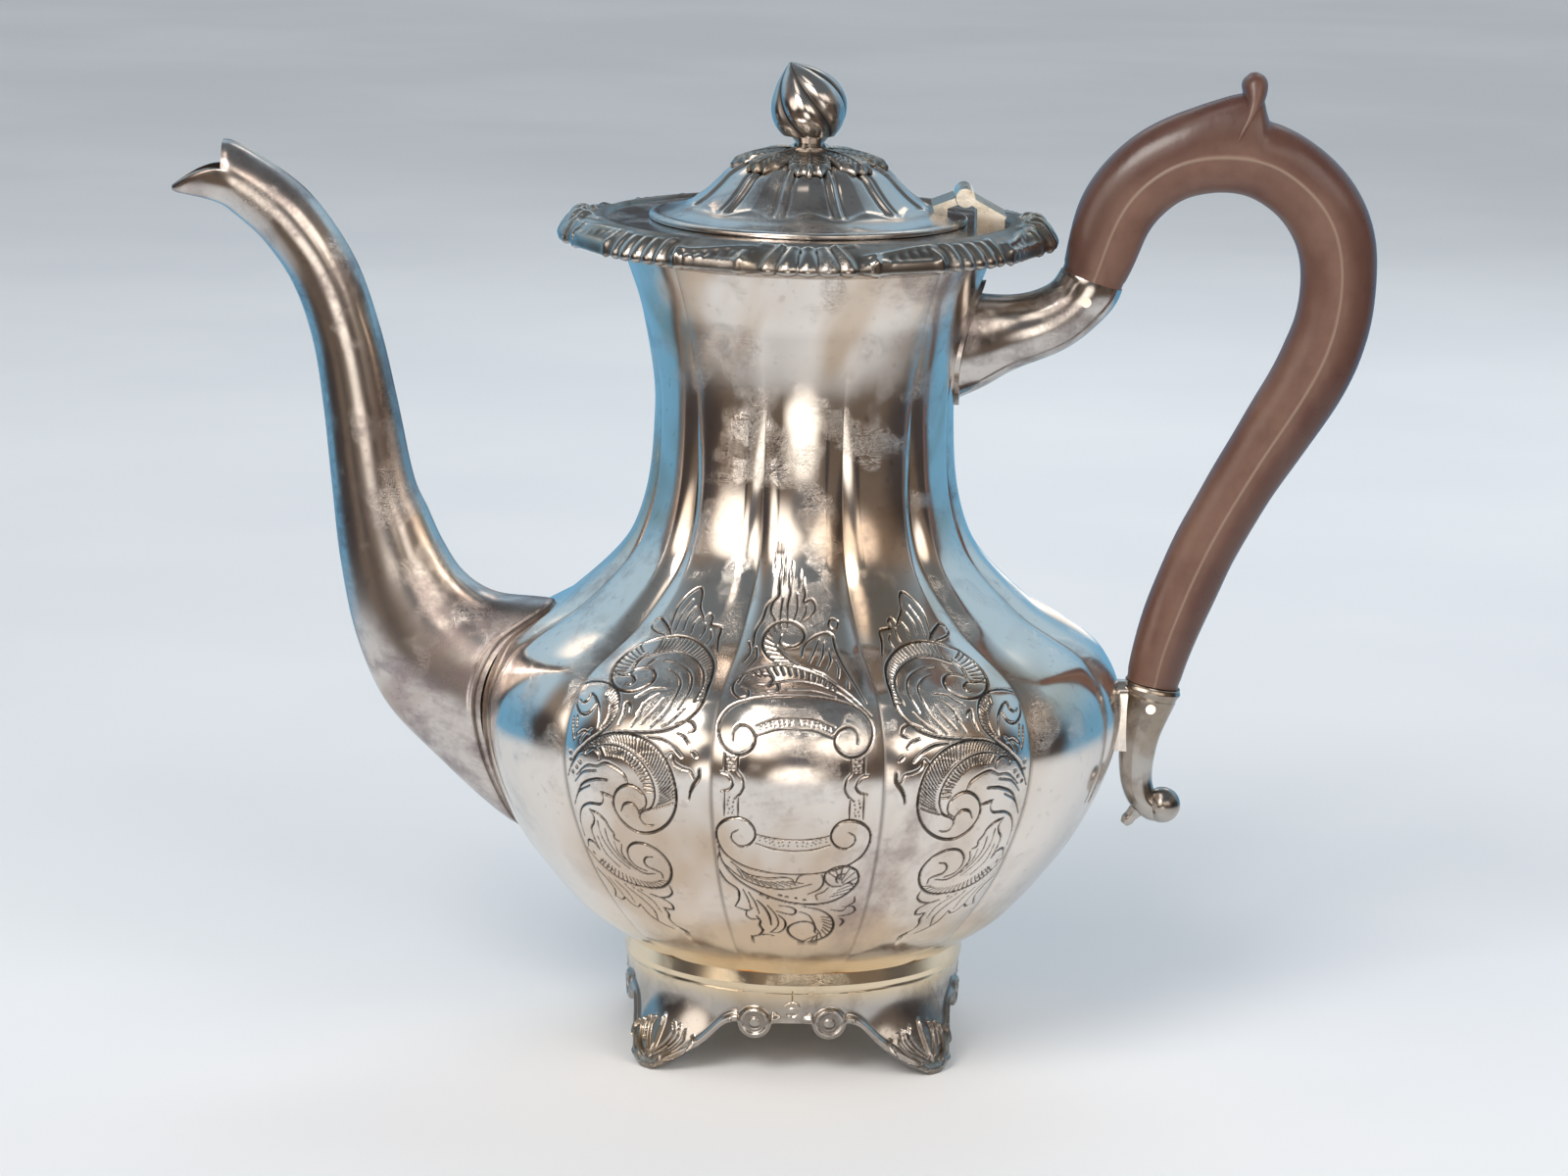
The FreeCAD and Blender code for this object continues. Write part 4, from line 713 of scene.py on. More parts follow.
def sideSprays():
    bigOut = [(-20.6, -4), (-17, 2), (-11, 6.8), (-5, 9.5), (2, 9.7), (7.4, 7.6), (11.2, 3.6), (13, -2),
              (12.6, -7.4), (9.8, -12.2), (5.2, -15.4), (0.6, -15.9), (-3.4, -13.2), (-5, -9.2), (-3.8, -5.4),
              (-0.8, -3), (2.2, -3.1), (4.6, -5.2), (4.6, -8), (2.6, -9.6)]
    bigIn = [(-13, 3.2), (-8, 6), (-2, 6.3), (3.4, 3.8), (6.6, -0.4), (7.4, -4.6), (6, -8.2), (3.2, -9.8),
             (2.3, -11.6), (3.6, -13.4), (6, -13.2)]
    topOut = [(-9.6, 37), (-11.9, 32.6), (-12.7, 28), (-11.4, 23.9), (-8.2, 21.2), (-4.8, 20.4), (-1.4, 21.4),
              (0.8, 23.9), (0.8, 26.6), (-0.9, 28.9), (-3.2, 29.2), (-5.9, 27.8), (-6.4, 26)]
    topArc = [(-9.6, 37), (-5, 40.2), (0, 41.6), (5, 40.8), (9.4, 38), (12.6, 34), (14.6, 29), (15.7, 24.4),
              (16.4, 20), (15.4, 16.6), (12.9, 13.9), (9, 11.9), (4, 10.8), (-2, 10.2)]
    topMid = [(-5, 33.4), (-1, 36), (3.4, 36.4), (8, 34.4), (11.8, 30.4), (14, 25.4), (14.4, 20)]
    leftOut = [(-19.2, 15.4), (-17, 15), (-15.4, 16.2), (-15.2, 17.6), (-13.4, 17.4), (-11, 15.2),
               (-9.8, 12.2), (-9.6, 10)]
    leftTop = [(-20.5, 19.4), (-15.4, 21.4), (-10.4, 21.7), (-6.6, 19.6), (-5, 16), (-5.5, 12.6), (-8.2, 9.4),
               (-13, 5.6), (-17.2, 1), (-20.2, -3)]
    lowOut = [(-19.8, -25), (-16, -29), (-10.4, -32.9), (-4, -34.7), (2.8, -33.8), (6.4, -30.4), (7.7, -25.6),
              (6, -21.6), (2.6, -19.5), (-0.9, -19.7), (-3.5, -22), (-4, -25), (-2.4, -27.6), (0.4, -28.5)]
    strokes = [(0.55, bigOut), (0.42, bigIn), (0.55, topOut), (0.5, topArc), (0.36, topMid), (0.42, leftOut),
               (0.5, leftTop), (0.55, lowOut)]
    for width, points in (
        (0.45, [(-2.9, -10.6), (-1.6, -8.3), (0.6, -7.8), (2, -9.2), (2.5, -11.4)]),
        (0.45, [(-11.3, 25.7), (-8.6, 25.2), (-5.6, 25.8), (-3.9, 24.2), (-4.4, 22.5), (-5.6, 22.7)]),
        (0.45, [(-20.6, 16.6), (-19.8, 14), (-16.6, 12.2), (-13.6, 13), (-12.1, 15.4)]),
        (0.45, [(3.4, -23.4), (1.6, -23.8), (0.4, -25.4), (1, -27), (2.7, -27.6), (4.4, -28.4),
                (4.6, -30.2)]),
        (0.5, [(-12.8, 2.8), (-12.9, 4.1), (-10.6, 4.8), (-8.6, 4), (-8.3, 2.4)]),
        (0.45, [(-9.3, 0.6), (-6.6, 1.8), (-3.4, 1.1), (-0.8, -0.4), (0.1, -2.4)]),
        (0.5, [(-18, -9.4), (-14.8, -5.2), (-10, -3), (-6, -2.5)]),
        (0.45, [(-8.5, -6.2), (-4.9, -6.9)]), (0.45, [(-8.4, -6.4), (-8, -8), (-9, -9.6), (-13, -10.2),
                                                       (-16.6, -12.4), (-18.6, -16.6), (-18.6, -21.6)]),
        (0.36, [(-19.6, -12), (-16.4, -7.6), (-12, -5)]), (0.34, [(-17.6, -5), (-14, -1.8), (-9.6, -0.6)]),
        (0.36, [(-16.6, -3), (-12.6, 0.2), (-9.4, 0.6)]),
        (0.5, [(-19.2, 2.4), (-18.4, 2)]), (0.5, [(-19.2, 0.6), (-18.6, 0.4)]), (0.5, [(-15.4, 0.8),
                                                                                       (-14.6, 0.4)]),
        (0.5, [(-16.8, -0.8), (-16, -1.2)]), (0.5, [(-18.6, -2.4), (-17.8, -2.8)]),
        (0.45, [(-16.6, 7), (-14.6, 8.4), (-12.2, 8.2)]), (0.36, [(-15.4, 5.4), (-14.2, 7.4), (-11.6, 9.6)]),
        (0.36, [(-19.4, 10.8), (-18.6, 8), (-17.4, 5.6)]), (0.34, [(-17.8, 11.4), (-17, 8.6)]),
        # leaves under the upper scroll
        (0.45, [(-3.6, 11.8), (-2.9, 14.6), (-3.2, 17.4), (-1.8, 17), (-1.2, 15.2)]),
        (0.45, [(-1.2, 19.2), (0.4, 20.6), (2, 22.4), (5.6, 23.2)]), (0.36, [(0.8, 15), (2.4, 18.6),
                                                                             (4.6, 21.2)]),
        (0.36, [(2.6, 13), (5, 16.4), (6.4, 20)]), (0.34, [(0, 12), (1.4, 15), (1.6, 18)]),
        (0.36, [(5.2, 12.2), (7.8, 16), (9, 20), (8.6, 25), (6, 28.4), (3, 29.8)]),
        (0.36, [(0.4, 32.8), (4, 32.4), (8, 30.4), (10.6, 27), (11.8, 22.6), (11, 17.6)]),
        (0.36, [(8, 12.6), (10.6, 14.8), (12.6, 18)]),
        (0.45, [(-6.6, 28.2), (-6.8, 31), (-5.6, 34)]), (0.36, [(-3.4, 30.4), (-2.6, 33)]),
        # flame above it
        (0.45, [(-3.6, 42.4), (-4.4, 46), (-4.7, 50.4), (-3.3, 54.4), (-1, 56.6), (0.3, 54.8), (1.2, 51.4),
                (3, 49), (4.2, 47.2)]),
        (0.45, [(4, 47), (4.8, 49.4), (6, 48.6), (6.4, 46.4), (8, 46.2), (9.4, 45.6), (10.2, 42),
                (11.8, 38)]),
        (0.45, [(-9.4, 45.2), (-8, 46), (-6.4, 45.2), (-4.6, 43.8), (-2.8, 41.8)]),
        (0.36, [(-9.3, 45), (-9.6, 43), (-7.4, 41.8), (-4.4, 41.2)]),
        (0.34, [(-2.2, 43), (-2.6, 48), (-1.4, 53)]), (0.34, [(0, 43.4), (-0.6, 47.6), (0.2, 51)]),
        (0.34, [(2.4, 43), (2, 45.6), (2.6, 48)]), (0.34, [(5.4, 41.6), (5.6, 44), (5, 46.4)]),
        (0.34, [(8, 40), (8.2, 42.4), (7.2, 44.6)]),
        # sprig at the right
        (0.45, [(5, 9.8), (8.8, 9.6), (12, 8.2), (14.6, 5.8)]),
        (0.45, [(10.4, 4.9), (12, 6.4), (12.8, 4.2), (15, 3), (16.9, 2.5), (18, 0.6)]),
        (0.6, [(19, 3), (18.8, 1), (17.4, -1.2), (16.7, -3), (16.3, -4.8)]),
        (0.45, [(11.5, 13.8), (13.9, 14.8), (16, 14.2), (16.7, 12.5), (15.4, 11.8)]),
        (0.6, [(17.1, 7.1), (18.2, 6)]), (0.36, [(12.6, 11.4), (14.6, 10.6), (16, 9)]),
        # lower leaf and tail
        (0.5, [(-13.5, -12.3), (-12.4, -14.2), (-13.1, -16.2), (-14.5, -18), (-14.5, -20.6), (-13.4, -24.6)]),
        (0.5, [(-13.5, -12.1), (-10.6, -12.8), (-8.6, -14.5), (-8, -16.2), (-6.8, -18), (-7, -19.4),
               (-5.4, -20.2)]),
        (0.42, [(-5.1, -21), (-5.8, -24), (-3.6, -27.8), (-0.6, -29.5), (2.6, -29)]),
        (0.36, [(-11.4, -15), (-11.2, -20), (-8.8, -25), (-4.8, -28.8)]),
        (0.36, [(-9.4, -17), (-9.2, -21), (-7.2, -25), (-4.2, -28)]),
        (0.34, [(-12.8, -20), (-11.6, -25), (-8, -29)]), (0.34, [(-7.4, -20.6), (-7, -23.6), (-5.4, -26)]),
        (0.5, [(-18.3, -24.7), (-17.5, -22.6), (-15.3, -22.4), (-13.8, -24.4)]),
        (0.55, [(-16.9, -26.1), (-16.2, -26.7)]), (0.55, [(-14.4, -28.1), (-13.6, -28.6)]),
        (0.5, [(-12.8, -29.7), (-12, -30.1)]), (0.5, [(-11.4, -30.6), (-10.8, -30.9)]),
        (0.5, [(-18, -32), (-15.5, -34.5), (-14, -37), (-13.8, -39), (-15.2, -42)]),
        (0.45, [(-15, -41.4), (-12.4, -42.3), (-10.9, -41), (-9.6, -43), (-7.8, -43.9), (-6.4, -42.4)]),
        (0.5, [(-6.4, -42.4), (-5.8, -44.5), (-4.8, -47), (-2.4, -49.4), (0.4, -51)]),
        (0.45, [(5.5, -32.6), (5.6, -35), (4, -37), (1, -37.8), (-1.4, -37.1)]),
        (0.5, [(-1, -37), (1.6, -38), (3.8, -40), (3.4, -42.2), (1.1, -42.1), (1.4, -44.4), (0.7, -46.6),
               (1.5, -49), (3.4, -50.5)]),
        (0.7, [(2.6, -50.4), (4.4, -51.8)]),
        (0.42, [(-8, -36.2), (-4.6, -40), (-2.7, -44), (-3.2, -48)]), (0.34, [(-11.6, -34.6), (-9, -38),
                                                                              (-8, -42)]),
        (0.34, [(-14, -34), (-11.8, -38), (-11, -41)]), (0.34, [(-5, -36.4), (-1.6, -39.6), (-0.6, -44)]),
        (0.45, [(-8.6, -35), (-8.2, -35.6)]), (0.45, [(-6.2, -35.4), (-5.8, -36)]),
        (0.45, [(-3.8, -35.8), (-3.4, -36.4)]),
    ):
        strokes.append((width, points))
    strokes += hatch(bigOut[1:9], bigIn[0:8], 42, (0.06, 0.72))
    strokes += hatch(topArc[1:9], topMid, 28, (0.1, 0.85), lean=0.03)
    strokes += hatch(topOut[0:4], [(-6.2, 34), (-6.8, 31), (-6.8, 28.4), (-7.6, 25.6)], 9, (0.1, 0.8))
    strokes += hatch(leftTop[2:7], [(-10, 17.4), (-8.6, 15), (-8.2, 12), (-9.4, 10)], 15, (0.08, 0.75))
    strokes += hatch(bigIn[1:6], [(-6, 3.2), (-1.6, 3.4), (1.6, 1.4), (3.6, -1.6),
                                  (3.8, -4)], 20, (0.12, 0.8))
    strokes += hatch(lowOut[1:6], [(-12, -26.4), (-7.4, -29), (-3, -31), (2, -31.4)], 18, (0.06, 0.6))
    return strokes

def grooveField(places, strokes, thinnest=0.0):
    # share of a groove's depth at each place: 1 on a stroke's line, easing to 0 at its half width, which
    # tapers towards the stroke's ends; where strokes cross, the deeper one counts
    depth = np.zeros(len(places))
    for width, points in strokes:
        line = curveThrough(points, max(4, 5 * len(points)))
        taper = width * (0.35 + 0.65 * np.sin(np.pi * np.linspace(0.06, 0.94, len(line))) ** 0.6)
        taper = np.maximum(taper, thinnest)
        near = np.flatnonzero(((places > line.min(0) - width) & (places < line.max(0) + width)).all(1))
        if not len(near):
            continue
        start, run = line[:-1], np.diff(line, axis=0)
        offset = places[near][:, None] - start
        share = np.clip((offset * run).sum(2) / np.maximum((run ** 2).sum(1), 1e-9), 0, 1)
        gap = np.linalg.norm(offset - run * share[..., None], axis=2)
        reach = taper[:-1] + np.diff(taper) * share
        cut = (1 - ease(gap / reach, 0.0, 1.0)) * np.minimum(reach / 0.40, 1.15)
        depth[near] = np.maximum(depth[near], cut.max(1))
    return depth

def lobePiece(name, middle, strokes=None, replaced=()):
    values = bodyValues
    lengths = lengthAlong[[0, -1]]
    if strokes:
        fineLow, fineHigh = np.interp([values["chasedFrom"], values["chasedTo"]], lengthHeights, lengthAlong)
        steps = [np.linspace(lengths[0], fineLow, 10)[:-1],
                 np.arange(fineLow, fineHigh, values["fineStep"]),
                 np.linspace(fineHigh, lengths[1], 44)]
        places, across = np.concatenate(steps), np.linspace(-1, 1, values["chasedAcross"])
    else:
        places = np.linspace(lengths[0], lengths[1], values["plainAlong"])
        across = np.linspace(-1, 1, values["plainAcross"])
    heights = np.clip(np.interp(places, lengthAlong, lengthHeights), bodyLow, bodyHigh)
    acrossGrid, heightGrid = np.meshgrid(across, heights, indexing="ij")
    outer = lobeSurface(middle, acrossGrid, heightGrid)
    normals = surfaceNormals(outer)
    cavity = 0.55 * ease(np.abs(acrossGrid), 0.955, 1.0) * ease(creaseDepth(heightGrid), 0.3, 1.6)
    if strokes:
        halfArc = crestRadius(heightGrid) * halfLobe
        flat = np.stack([acrossGrid * halfArc, np.broadcast_to(places, acrossGrid.shape)], -1).reshape(-1, 2)
        groove = grooveField(flat, strokes, values["fineStep"] * 1.05).reshape(acrossGrid.shape)
        groove *= 1 - ease(np.abs(acrossGrid), 0.965, 0.995)
        outer = outer - normals * (groove * values["grooveDepth"])[..., None]
        cavity = np.maximum(cavity, 0.95 * ease(groove, 0.08, 0.6))
    columns = np.linspace(0, len(across) - 1, values["innerColumns"]).astype(int)
    inner = (lobeSurface(middle, acrossGrid, heightGrid) - normals * values["wall"])[columns]
    points, faces = shellParts(outer, inner)
    makePiece(name, points, faces, "platedShell", replaced=replaced, sharp=65,
              cavity=outsideFirst(cavity, len(points)))

cartoucheStrokes = cartouche() + centreSprays()
leftStrokes = sideSprays()
rightStrokes = mirrored(leftStrokes)
designs = {-120: leftStrokes, -90: cartoucheStrokes, -60: rightStrokes,
           60: leftStrokes, 90: cartoucheStrokes, 120: rightStrokes}
for number in range(12):
    degrees = number * 30 if number * 30 <= 180 else number * 30 - 360
    lobePiece(f"body_lobe_{number:02d}", np.radians(degrees), designs.get(degrees),
              ("body_lower_shell", "body_upper_shell") if number == 0 else ())
print("body lobes are done")

# feet: four cast quadrants with a leaf toe each

footValues = {
    "top": 23.2, "collar": 43.6, "skirt": 42.3, "toe": 52.4, "wall": 2.0,
    "gapHalf": 29.0, "archHalf": 13.0, "crown": 14.2,
    "scrollAt": 9.3, "scrollHeight": 14.3, "scrollRadius": 4.2,
    "around": 271, "fineRises": 52, "upperRises": 18,
    # rise, share of the toe's reach
    "flare": [(0.0, 1.0), (0.08, 0.97), (0.25, 0.68), (0.5, 0.36), (0.75, 0.14), (1.0, 0.0)],
    "arch": [(13.0, 14.2), (15.0, 13.9), (17.5, 12.2), (21.5, 7.1), (26.6, 1.9),
             (29.0, 0.0)],  # across, height
}

def footUnderside(across):
    # height of the casting's lower edge: the arch, lowered to a circle where a scroll hangs in it
    values = footValues
    side = np.abs(across)
    arch = np.where(side < values["archHalf"], values["crown"],
                    readPairs(values["arch"], np.clip(side, values["archHalf"], values["gapHalf"])))
    arch = np.where(side > values["gapHalf"], 0.0, arch)
    inside = np.clip(values["scrollRadius"] ** 2 - (side - values["scrollAt"]) ** 2, 0, None)
    drop = values["scrollHeight"] - np.sqrt(inside)
    return np.where(inside > 0, np.minimum(arch, drop), arch)

toeLeaves = [
    # raised lines, (half width, points); across is measured from the toe's middle, height from the floor
    (0.9, [(0, 3), (0, 6.5), (0, 10), (0, 12.5)]),
    (0.8, [(-1, 4), (-3.2, 6.6), (-4.2, 9.4), (-3.4, 11.6)]),
    (0.75, [(-2, 3), (-5.4, 4.8), (-7.4, 7.6), (-7.4, 10.2)]),
    (0.7, [(-3, 1.8), (-7, 2.4), (-9.6, 4.4), (-10.2, 6.6)]),
    (0.7, [(-4.4, 6), (-5.6, 8.6), (-5.4, 11.2)]),
    (0.6, [(-1.4, 1.4), (-3.2, 1.2), (-4, 2.6), (-2.8, 3.6), (-1.8, 2.8)]),
    # spray that climbs beside the arch
    (0.75, [(-11.2, 1.8), (-12.6, 4.6), (-12.4, 7.4)]),
    (0.75, [(-12.8, 3.4), (-14.8, 6.4), (-14.8, 9.6)]),
    (0.7, [(-14.6, 5.8), (-16.6, 8.8), (-16.6, 12)]),
    (0.7, [(-16.4, 8.4), (-18.2, 11.4), (-18.2, 14.6)]),
    (0.6, [(-10.4, 4.2), (-10.6, 7), (-9.6, 9.2)]),
]

def footPiece(name, quarter):
    values = footValues
    angles = np.linspace(0, np.pi / 2, values["around"])
    rises = np.concatenate([np.linspace(0, 0.5, values["fineRises"])[:-1],
                            np.linspace(0.5, 1, values["upperRises"])])
    angleGrid, riseGrid = np.meshgrid(angles, rises, indexing="ij")
    fromArch = np.minimum(angleGrid, np.pi / 2 - angleGrid)
    across = values["skirt"] * np.sin(fromArch)
    low = footUnderside(across)
    height = low + (values["top"] - low) * riseGrid
    share = height / values["top"]
    bulge = ((1 - np.cos(4 * angleGrid)) / 2) ** 1.4
    base = values["skirt"] + (values["collar"] - values["skirt"]) * share ** 3
    radius = base + (values["toe"] - values["skirt"]) * readPairs(values["flare"], share) * bulge
    flat = turned(radius, angleGrid, height)
    normals = surfaceNormals(flat)
    # moulded bead along the lower edge, leaves, and the scroll's disc with its ring and eye
    above = height - low
    side = np.hypot(across - values["scrollAt"], height - values["scrollHeight"])
    disc = 1 - ease(side, values["scrollRadius"] - 0.5, values["scrollRadius"] + 0.2)
    ring = bell(side - 3.2, 0.55) + 0.9 * (1 - ease(side, 0.9, 1.7)) + 0.35 * bell(side - 2.0, 0.35)
    bead = bell(above - 1.1, 0.85) * (1 - disc) * (1 - 0.5 * ease(across, 32, 40)) * ease(across, 2.0, 4.0)
    step = 0.35 * (1 - ease(above, 2.4, 3.2)) * (1 - disc) * ease(across, 3.0, 5.0)
    toeAcross = (angleGrid - np.pi / 4) * radius
    places = np.stack([toeAcross, height], -1).reshape(-1, 2)
    leaves = grooveField(places, toeLeaves + mirrored(toeLeaves)).reshape(height.shape) * (1 - disc)
    veins = grooveField(places, [(0.35, points) for _, points in toeLeaves + mirrored(toeLeaves)])
    boss = np.hypot(across, height - 17.6)
    medallion = bell(boss - 1.9, 0.45) + 0.9 * (1 - ease(boss, 0.5, 1.1))
    seam = bell(across, 0.22) * ease(height, 19.8, 20.2)
    band = bell(height - 21.9, 0.35)
    raised = (disc * (0.55 + 0.65 * ring) + 0.85 * bead + step + 1.1 * leaves + 0.4 * medallion * (1 - disc)
              + 0.25 * band - 0.35 * seam)
    raised -= 0.35 * veins.reshape(height.shape) * leaves
    lift = np.minimum(raised, 1.4) * (1 - 0.75 * ease(radius, 50.2, 52.2))
    outer = flat + normals * lift[..., None]
    outer[..., 2] = np.clip(outer[..., 2], 0, values["top"])
    sink = 1 - np.clip(ring * disc + bead + leaves + medallion, 0, 1)
    cavity = 0.55 * disc * sink + 0.6 * (1 - disc) * ease(leaves, 0.0, 0.25) * (1 - ease(leaves, 0.35, 0.7))
    cavity = np.maximum(cavity, 0.5 * bell(above - 2.9, 0.6) * ease(across, 4, 6))
    # the toes are darker within about 3 mm of the floor
    cavity = np.maximum(cavity, 0.45 * (1 - ease(height, 0.0, 3.2)) * (1 - ease(leaves, 0.3, 0.8)) * bulge)
    inner = flat.copy()
    inner[..., :2] *= ((radius - values["wall"]) / radius)[..., None]
    turn = Matrix.Rotation(quarter * np.pi / 2, 3, "Z")
    points, faces = shellParts(outer, inner)
    makePiece(name, points @ np.array(turn).T, faces, "castSilverPaintedShade", replaced=(name,), sharp=60,
              cavity=outsideFirst(cavity, len(points), 0.35))

for quarter, name in enumerate(("foot_back_right", "foot_back_left", "foot_front_left", "foot_front_right")):
    footPiece(name, quarter)
print("feet are done")

# rim: cast border of shells, flutes and leaf scrolls round the flange

rimValues = {
    "inner": 51.4, "top": 213.8, "outer": 60.9, "scallop": 1.1,
    "section": [(0.0, -1.2), (0.0, 0.3), (0.12, 0.9), (0.24, 0.45), (0.42, -0.1), (0.62, -1.0), (0.8, -2.1),
                (0.93, -3.2), (1.0, -4.3), (0.99, -5.2), (0.93, -5.6), (0.84, -4.9), (0.5, -2.6),
                (0.0, -2.0)],
    "shellHalf": 0.215, "shellFlutes": 5, "cornerHalf": 0.17, "cornerFlutes": 5, "beadGap": 0.065,
    "clusterLobes": 5.0, "around": 1080, "along": 56,
}

def rimRelief(angle, out):
    # height of the ornament: fans of flutes at the four ends and the four corners, beads at their sides,
    # and an S-moulding of two ridges between them; out runs from 0 at the flange to 1 at the edge
    values = rimValues
    fromEnd = (angle + np.pi / 4) % (np.pi / 2) - np.pi / 4
    fromCorner = angle % (np.pi / 2) - np.pi / 4
    onEdge = ease(out, 0.28, 0.55)
    half, corner = values["shellHalf"], values["cornerHalf"]
    spread = fromEnd / (0.55 + 0.45 * out)
    shell = (1 - ease(np.abs(spread), half * 0.78, half)) * onEdge
    shell *= np.abs(np.cos(spread / half * np.pi * values["shellFlutes"] / 2)) ** 0.7
    fan = (1 - ease(np.abs(fromCorner), corner * 0.75, corner)) * onEdge
    fan *= np.abs(np.cos(fromCorner / corner * np.pi * values["cornerFlutes"] / 2)) ** 0.7
    beadPlace = np.minimum(np.abs(np.abs(fromEnd) - half - values["beadGap"]),
                           np.abs(np.abs(fromCorner) - corner - 0.04))
    bead = bell(beadPlace * 56, 1.3) * bell(out - 0.84, 0.16)
    ended = 1 - ease(np.abs(fromEnd), half - 0.02, half + 0.04)
    cornered = 1 - ease(np.abs(fromCorner), corner, corner + 0.05)
    plain = np.clip(1 - (ended + cornered), 0, 1)
    wander = 0.58 + 0.17 * np.sin(8 * angle)
    moulding = plain * (bell(out - wander, 0.09) + 0.8 * bell(out - 0.93, 0.07))
    eyes = bell(np.hypot((np.abs(fromEnd) - half * 0.55) * 56, (out - 0.36) * 9.5), 1.1)
    eyes += bell(np.hypot((np.abs(fromCorner) - corner * 0.9) * 56, (out - 0.42) * 9.5), 1.0)
    arch = bell(out - 0.36 - 0.12 * np.cos(np.clip(fromEnd / half, -1, 1) * np.pi), 0.07) * (
        1 - ease(np.abs(fromEnd), half * 0.95, half * 1.1))
    scales = 0.3 * plain * np.abs(np.sin(angle * 64)) * bell(out - wander - 0.2, 0.1)
    return shell + 0.85 * fan + 0.9 * bead + 0.6 * moulding + 0.6 * eyes + 0.45 * arch + scales

def rimBorder():
    values = rimValues
    angle = np.linspace(0, fullTurn, values["around"], endpoint=False)
    section = curveThrough(values["section"], values["along"])
    angleGrid, index = np.meshgrid(angle, np.arange(len(section)), indexing="ij")
    out, rise = section[index, 0], section[index, 1]
    swell = np.cos(4 * angleGrid) + 0.5 * np.cos(8 * angleGrid)
    reach = values["outer"] + values["scallop"] * swell - values["inner"]
    radius = values["inner"] + out * reach
    # the two ends over spout and handle stand a little higher, as thick leaf clusters
    heap = np.abs(np.cos(angleGrid)) ** 14 * bell(out - 0.66, 0.26) * 1.5
    height = values["top"] + rise + heap
    flat = turned(radius, angleGrid, height)
    normals = surfaceNormals(flat, wrapRows=True)
    normals *= np.sign((normals[..., 2:3] * (index[..., None] < 20)).sum()) or 1  # the upper side points up
    upper = 1 - ease(index.astype(float), 36, 42)
    relief = rimRelief(angleGrid, out) * upper * ease(index.astype(float), 3, 8)
    clusters = np.abs(np.cos(angleGrid)) ** 14 * bell(out - 0.6, 0.3)
    clusters = clusters * np.abs(np.sin(angleGrid * 20 + out * values["clusterLobes"]))
    relief = relief + clusters * upper
    under = 0.5 * np.abs(np.cos(angleGrid * 36)) * ease(index.astype(float), 40, 44) * (out > 0.7)
    points = flat + normals * (relief + under)[..., None]
    cavity = upper * ease(index.astype(float), 3, 8) * (1 - ease(relief, 0.05, 0.55)) * 0.62
    faces = [gridFaces(*out.shape, True, True)]
    makePiece("rim_border", points, faces, "castSilverPaintedShade", replaced=("rim_border",), sharp=60, cavity=cavity)

rimBorder()
print("rim is done")

# lid: domed cover with twelve ribs, leaf rosette and a spiral bud

lidValues = {
    "seat": 214.0, "wall": 1.0, "bezelEdge": 38.4, "around": 444, "along": 80,
    "profile": [(40.2, 0.0), (40.5, 0.6), (40.2, 1.2), (38.4, 1.5), (36.0, 1.9), (33.2, 2.6), (30.8, 3.5),
                (28.8, 4.7), (26.2, 6.6), (23.4, 9.2), (20.6, 12.0), (15.4, 14.9), (8.4, 16.2), (1.5, 16.6)],
    "ribs": 12, "ribRise": 0.55, "ribWidth": 0.75,
}

def lidDome():
    values = lidValues
    profile = curveThrough(values["profile"], values["along"])
    angle = np.linspace(0, fullTurn, values["around"], endpoint=False)
    angleGrid, index = np.meshgrid(angle, np.arange(len(profile)), indexing="ij")
    radius, height = profile[index, 0], profile[index, 1]
    pitch = fullTurn / values["ribs"]
    fromRib = (angleGrid % pitch - pitch / 2) * radius
    onDome = ease(height, 3.2, 4.6)
    rib = onDome * values["ribRise"] * bell(fromRib, values["ribWidth"])
    valley = -0.32 * onDome * (bell(np.abs(fromRib) - 1.5, 0.6))
    panel = 0.5 * onDome * (np.cos(np.clip(fromRib / (radius * pitch), -1, 1) * np.pi) - 0.6) * 0.5
    arch = 0.22 * bell(height - 3.9 - 0.6 * np.cos(angleGrid * values["ribs"]), 0.4)
    flat = turned(radius, angleGrid, values["seat"] + height)
    normals = surfaceNormals(flat, wrapRows=True)
    ringed = 0.2 * bell(radius - 38.9, 0.4)
    outer = flat + normals * (rib + valley - panel + arch + ringed)[..., None]
    cavity = 0.5 * onDome * bell(np.abs(fromRib) - 1.4, 0.5) + 0.4 * bell(height - 3.0, 0.4)
    inside = profile.copy()
    inside[:, 1] = np.maximum(profile[:, 1] - values["wall"] * (profile[:, 1] > 1.2), 0.0)
    inside[:, 0] = np.minimum(profile[:, 0], values["bezelEdge"])
    inner = turned(inside[index, 0], angleGrid, values["seat"] + inside[index, 1])
    points, faces = shellParts(outer, inner, wrapRows=True)
    makePiece("lid_dome", points, faces, "lidAndMountSilverPaintedShade", "lid", replaced=("lid_dome",), sharp=50,
              cavity=outsideFirst(cavity, len(points)))

lidDome()

leafValues = {"count": 8, "reach": 20.0, "bore": 1.5, "thickness": 1.2, "tipLift": 0.5, "teeth": 5}

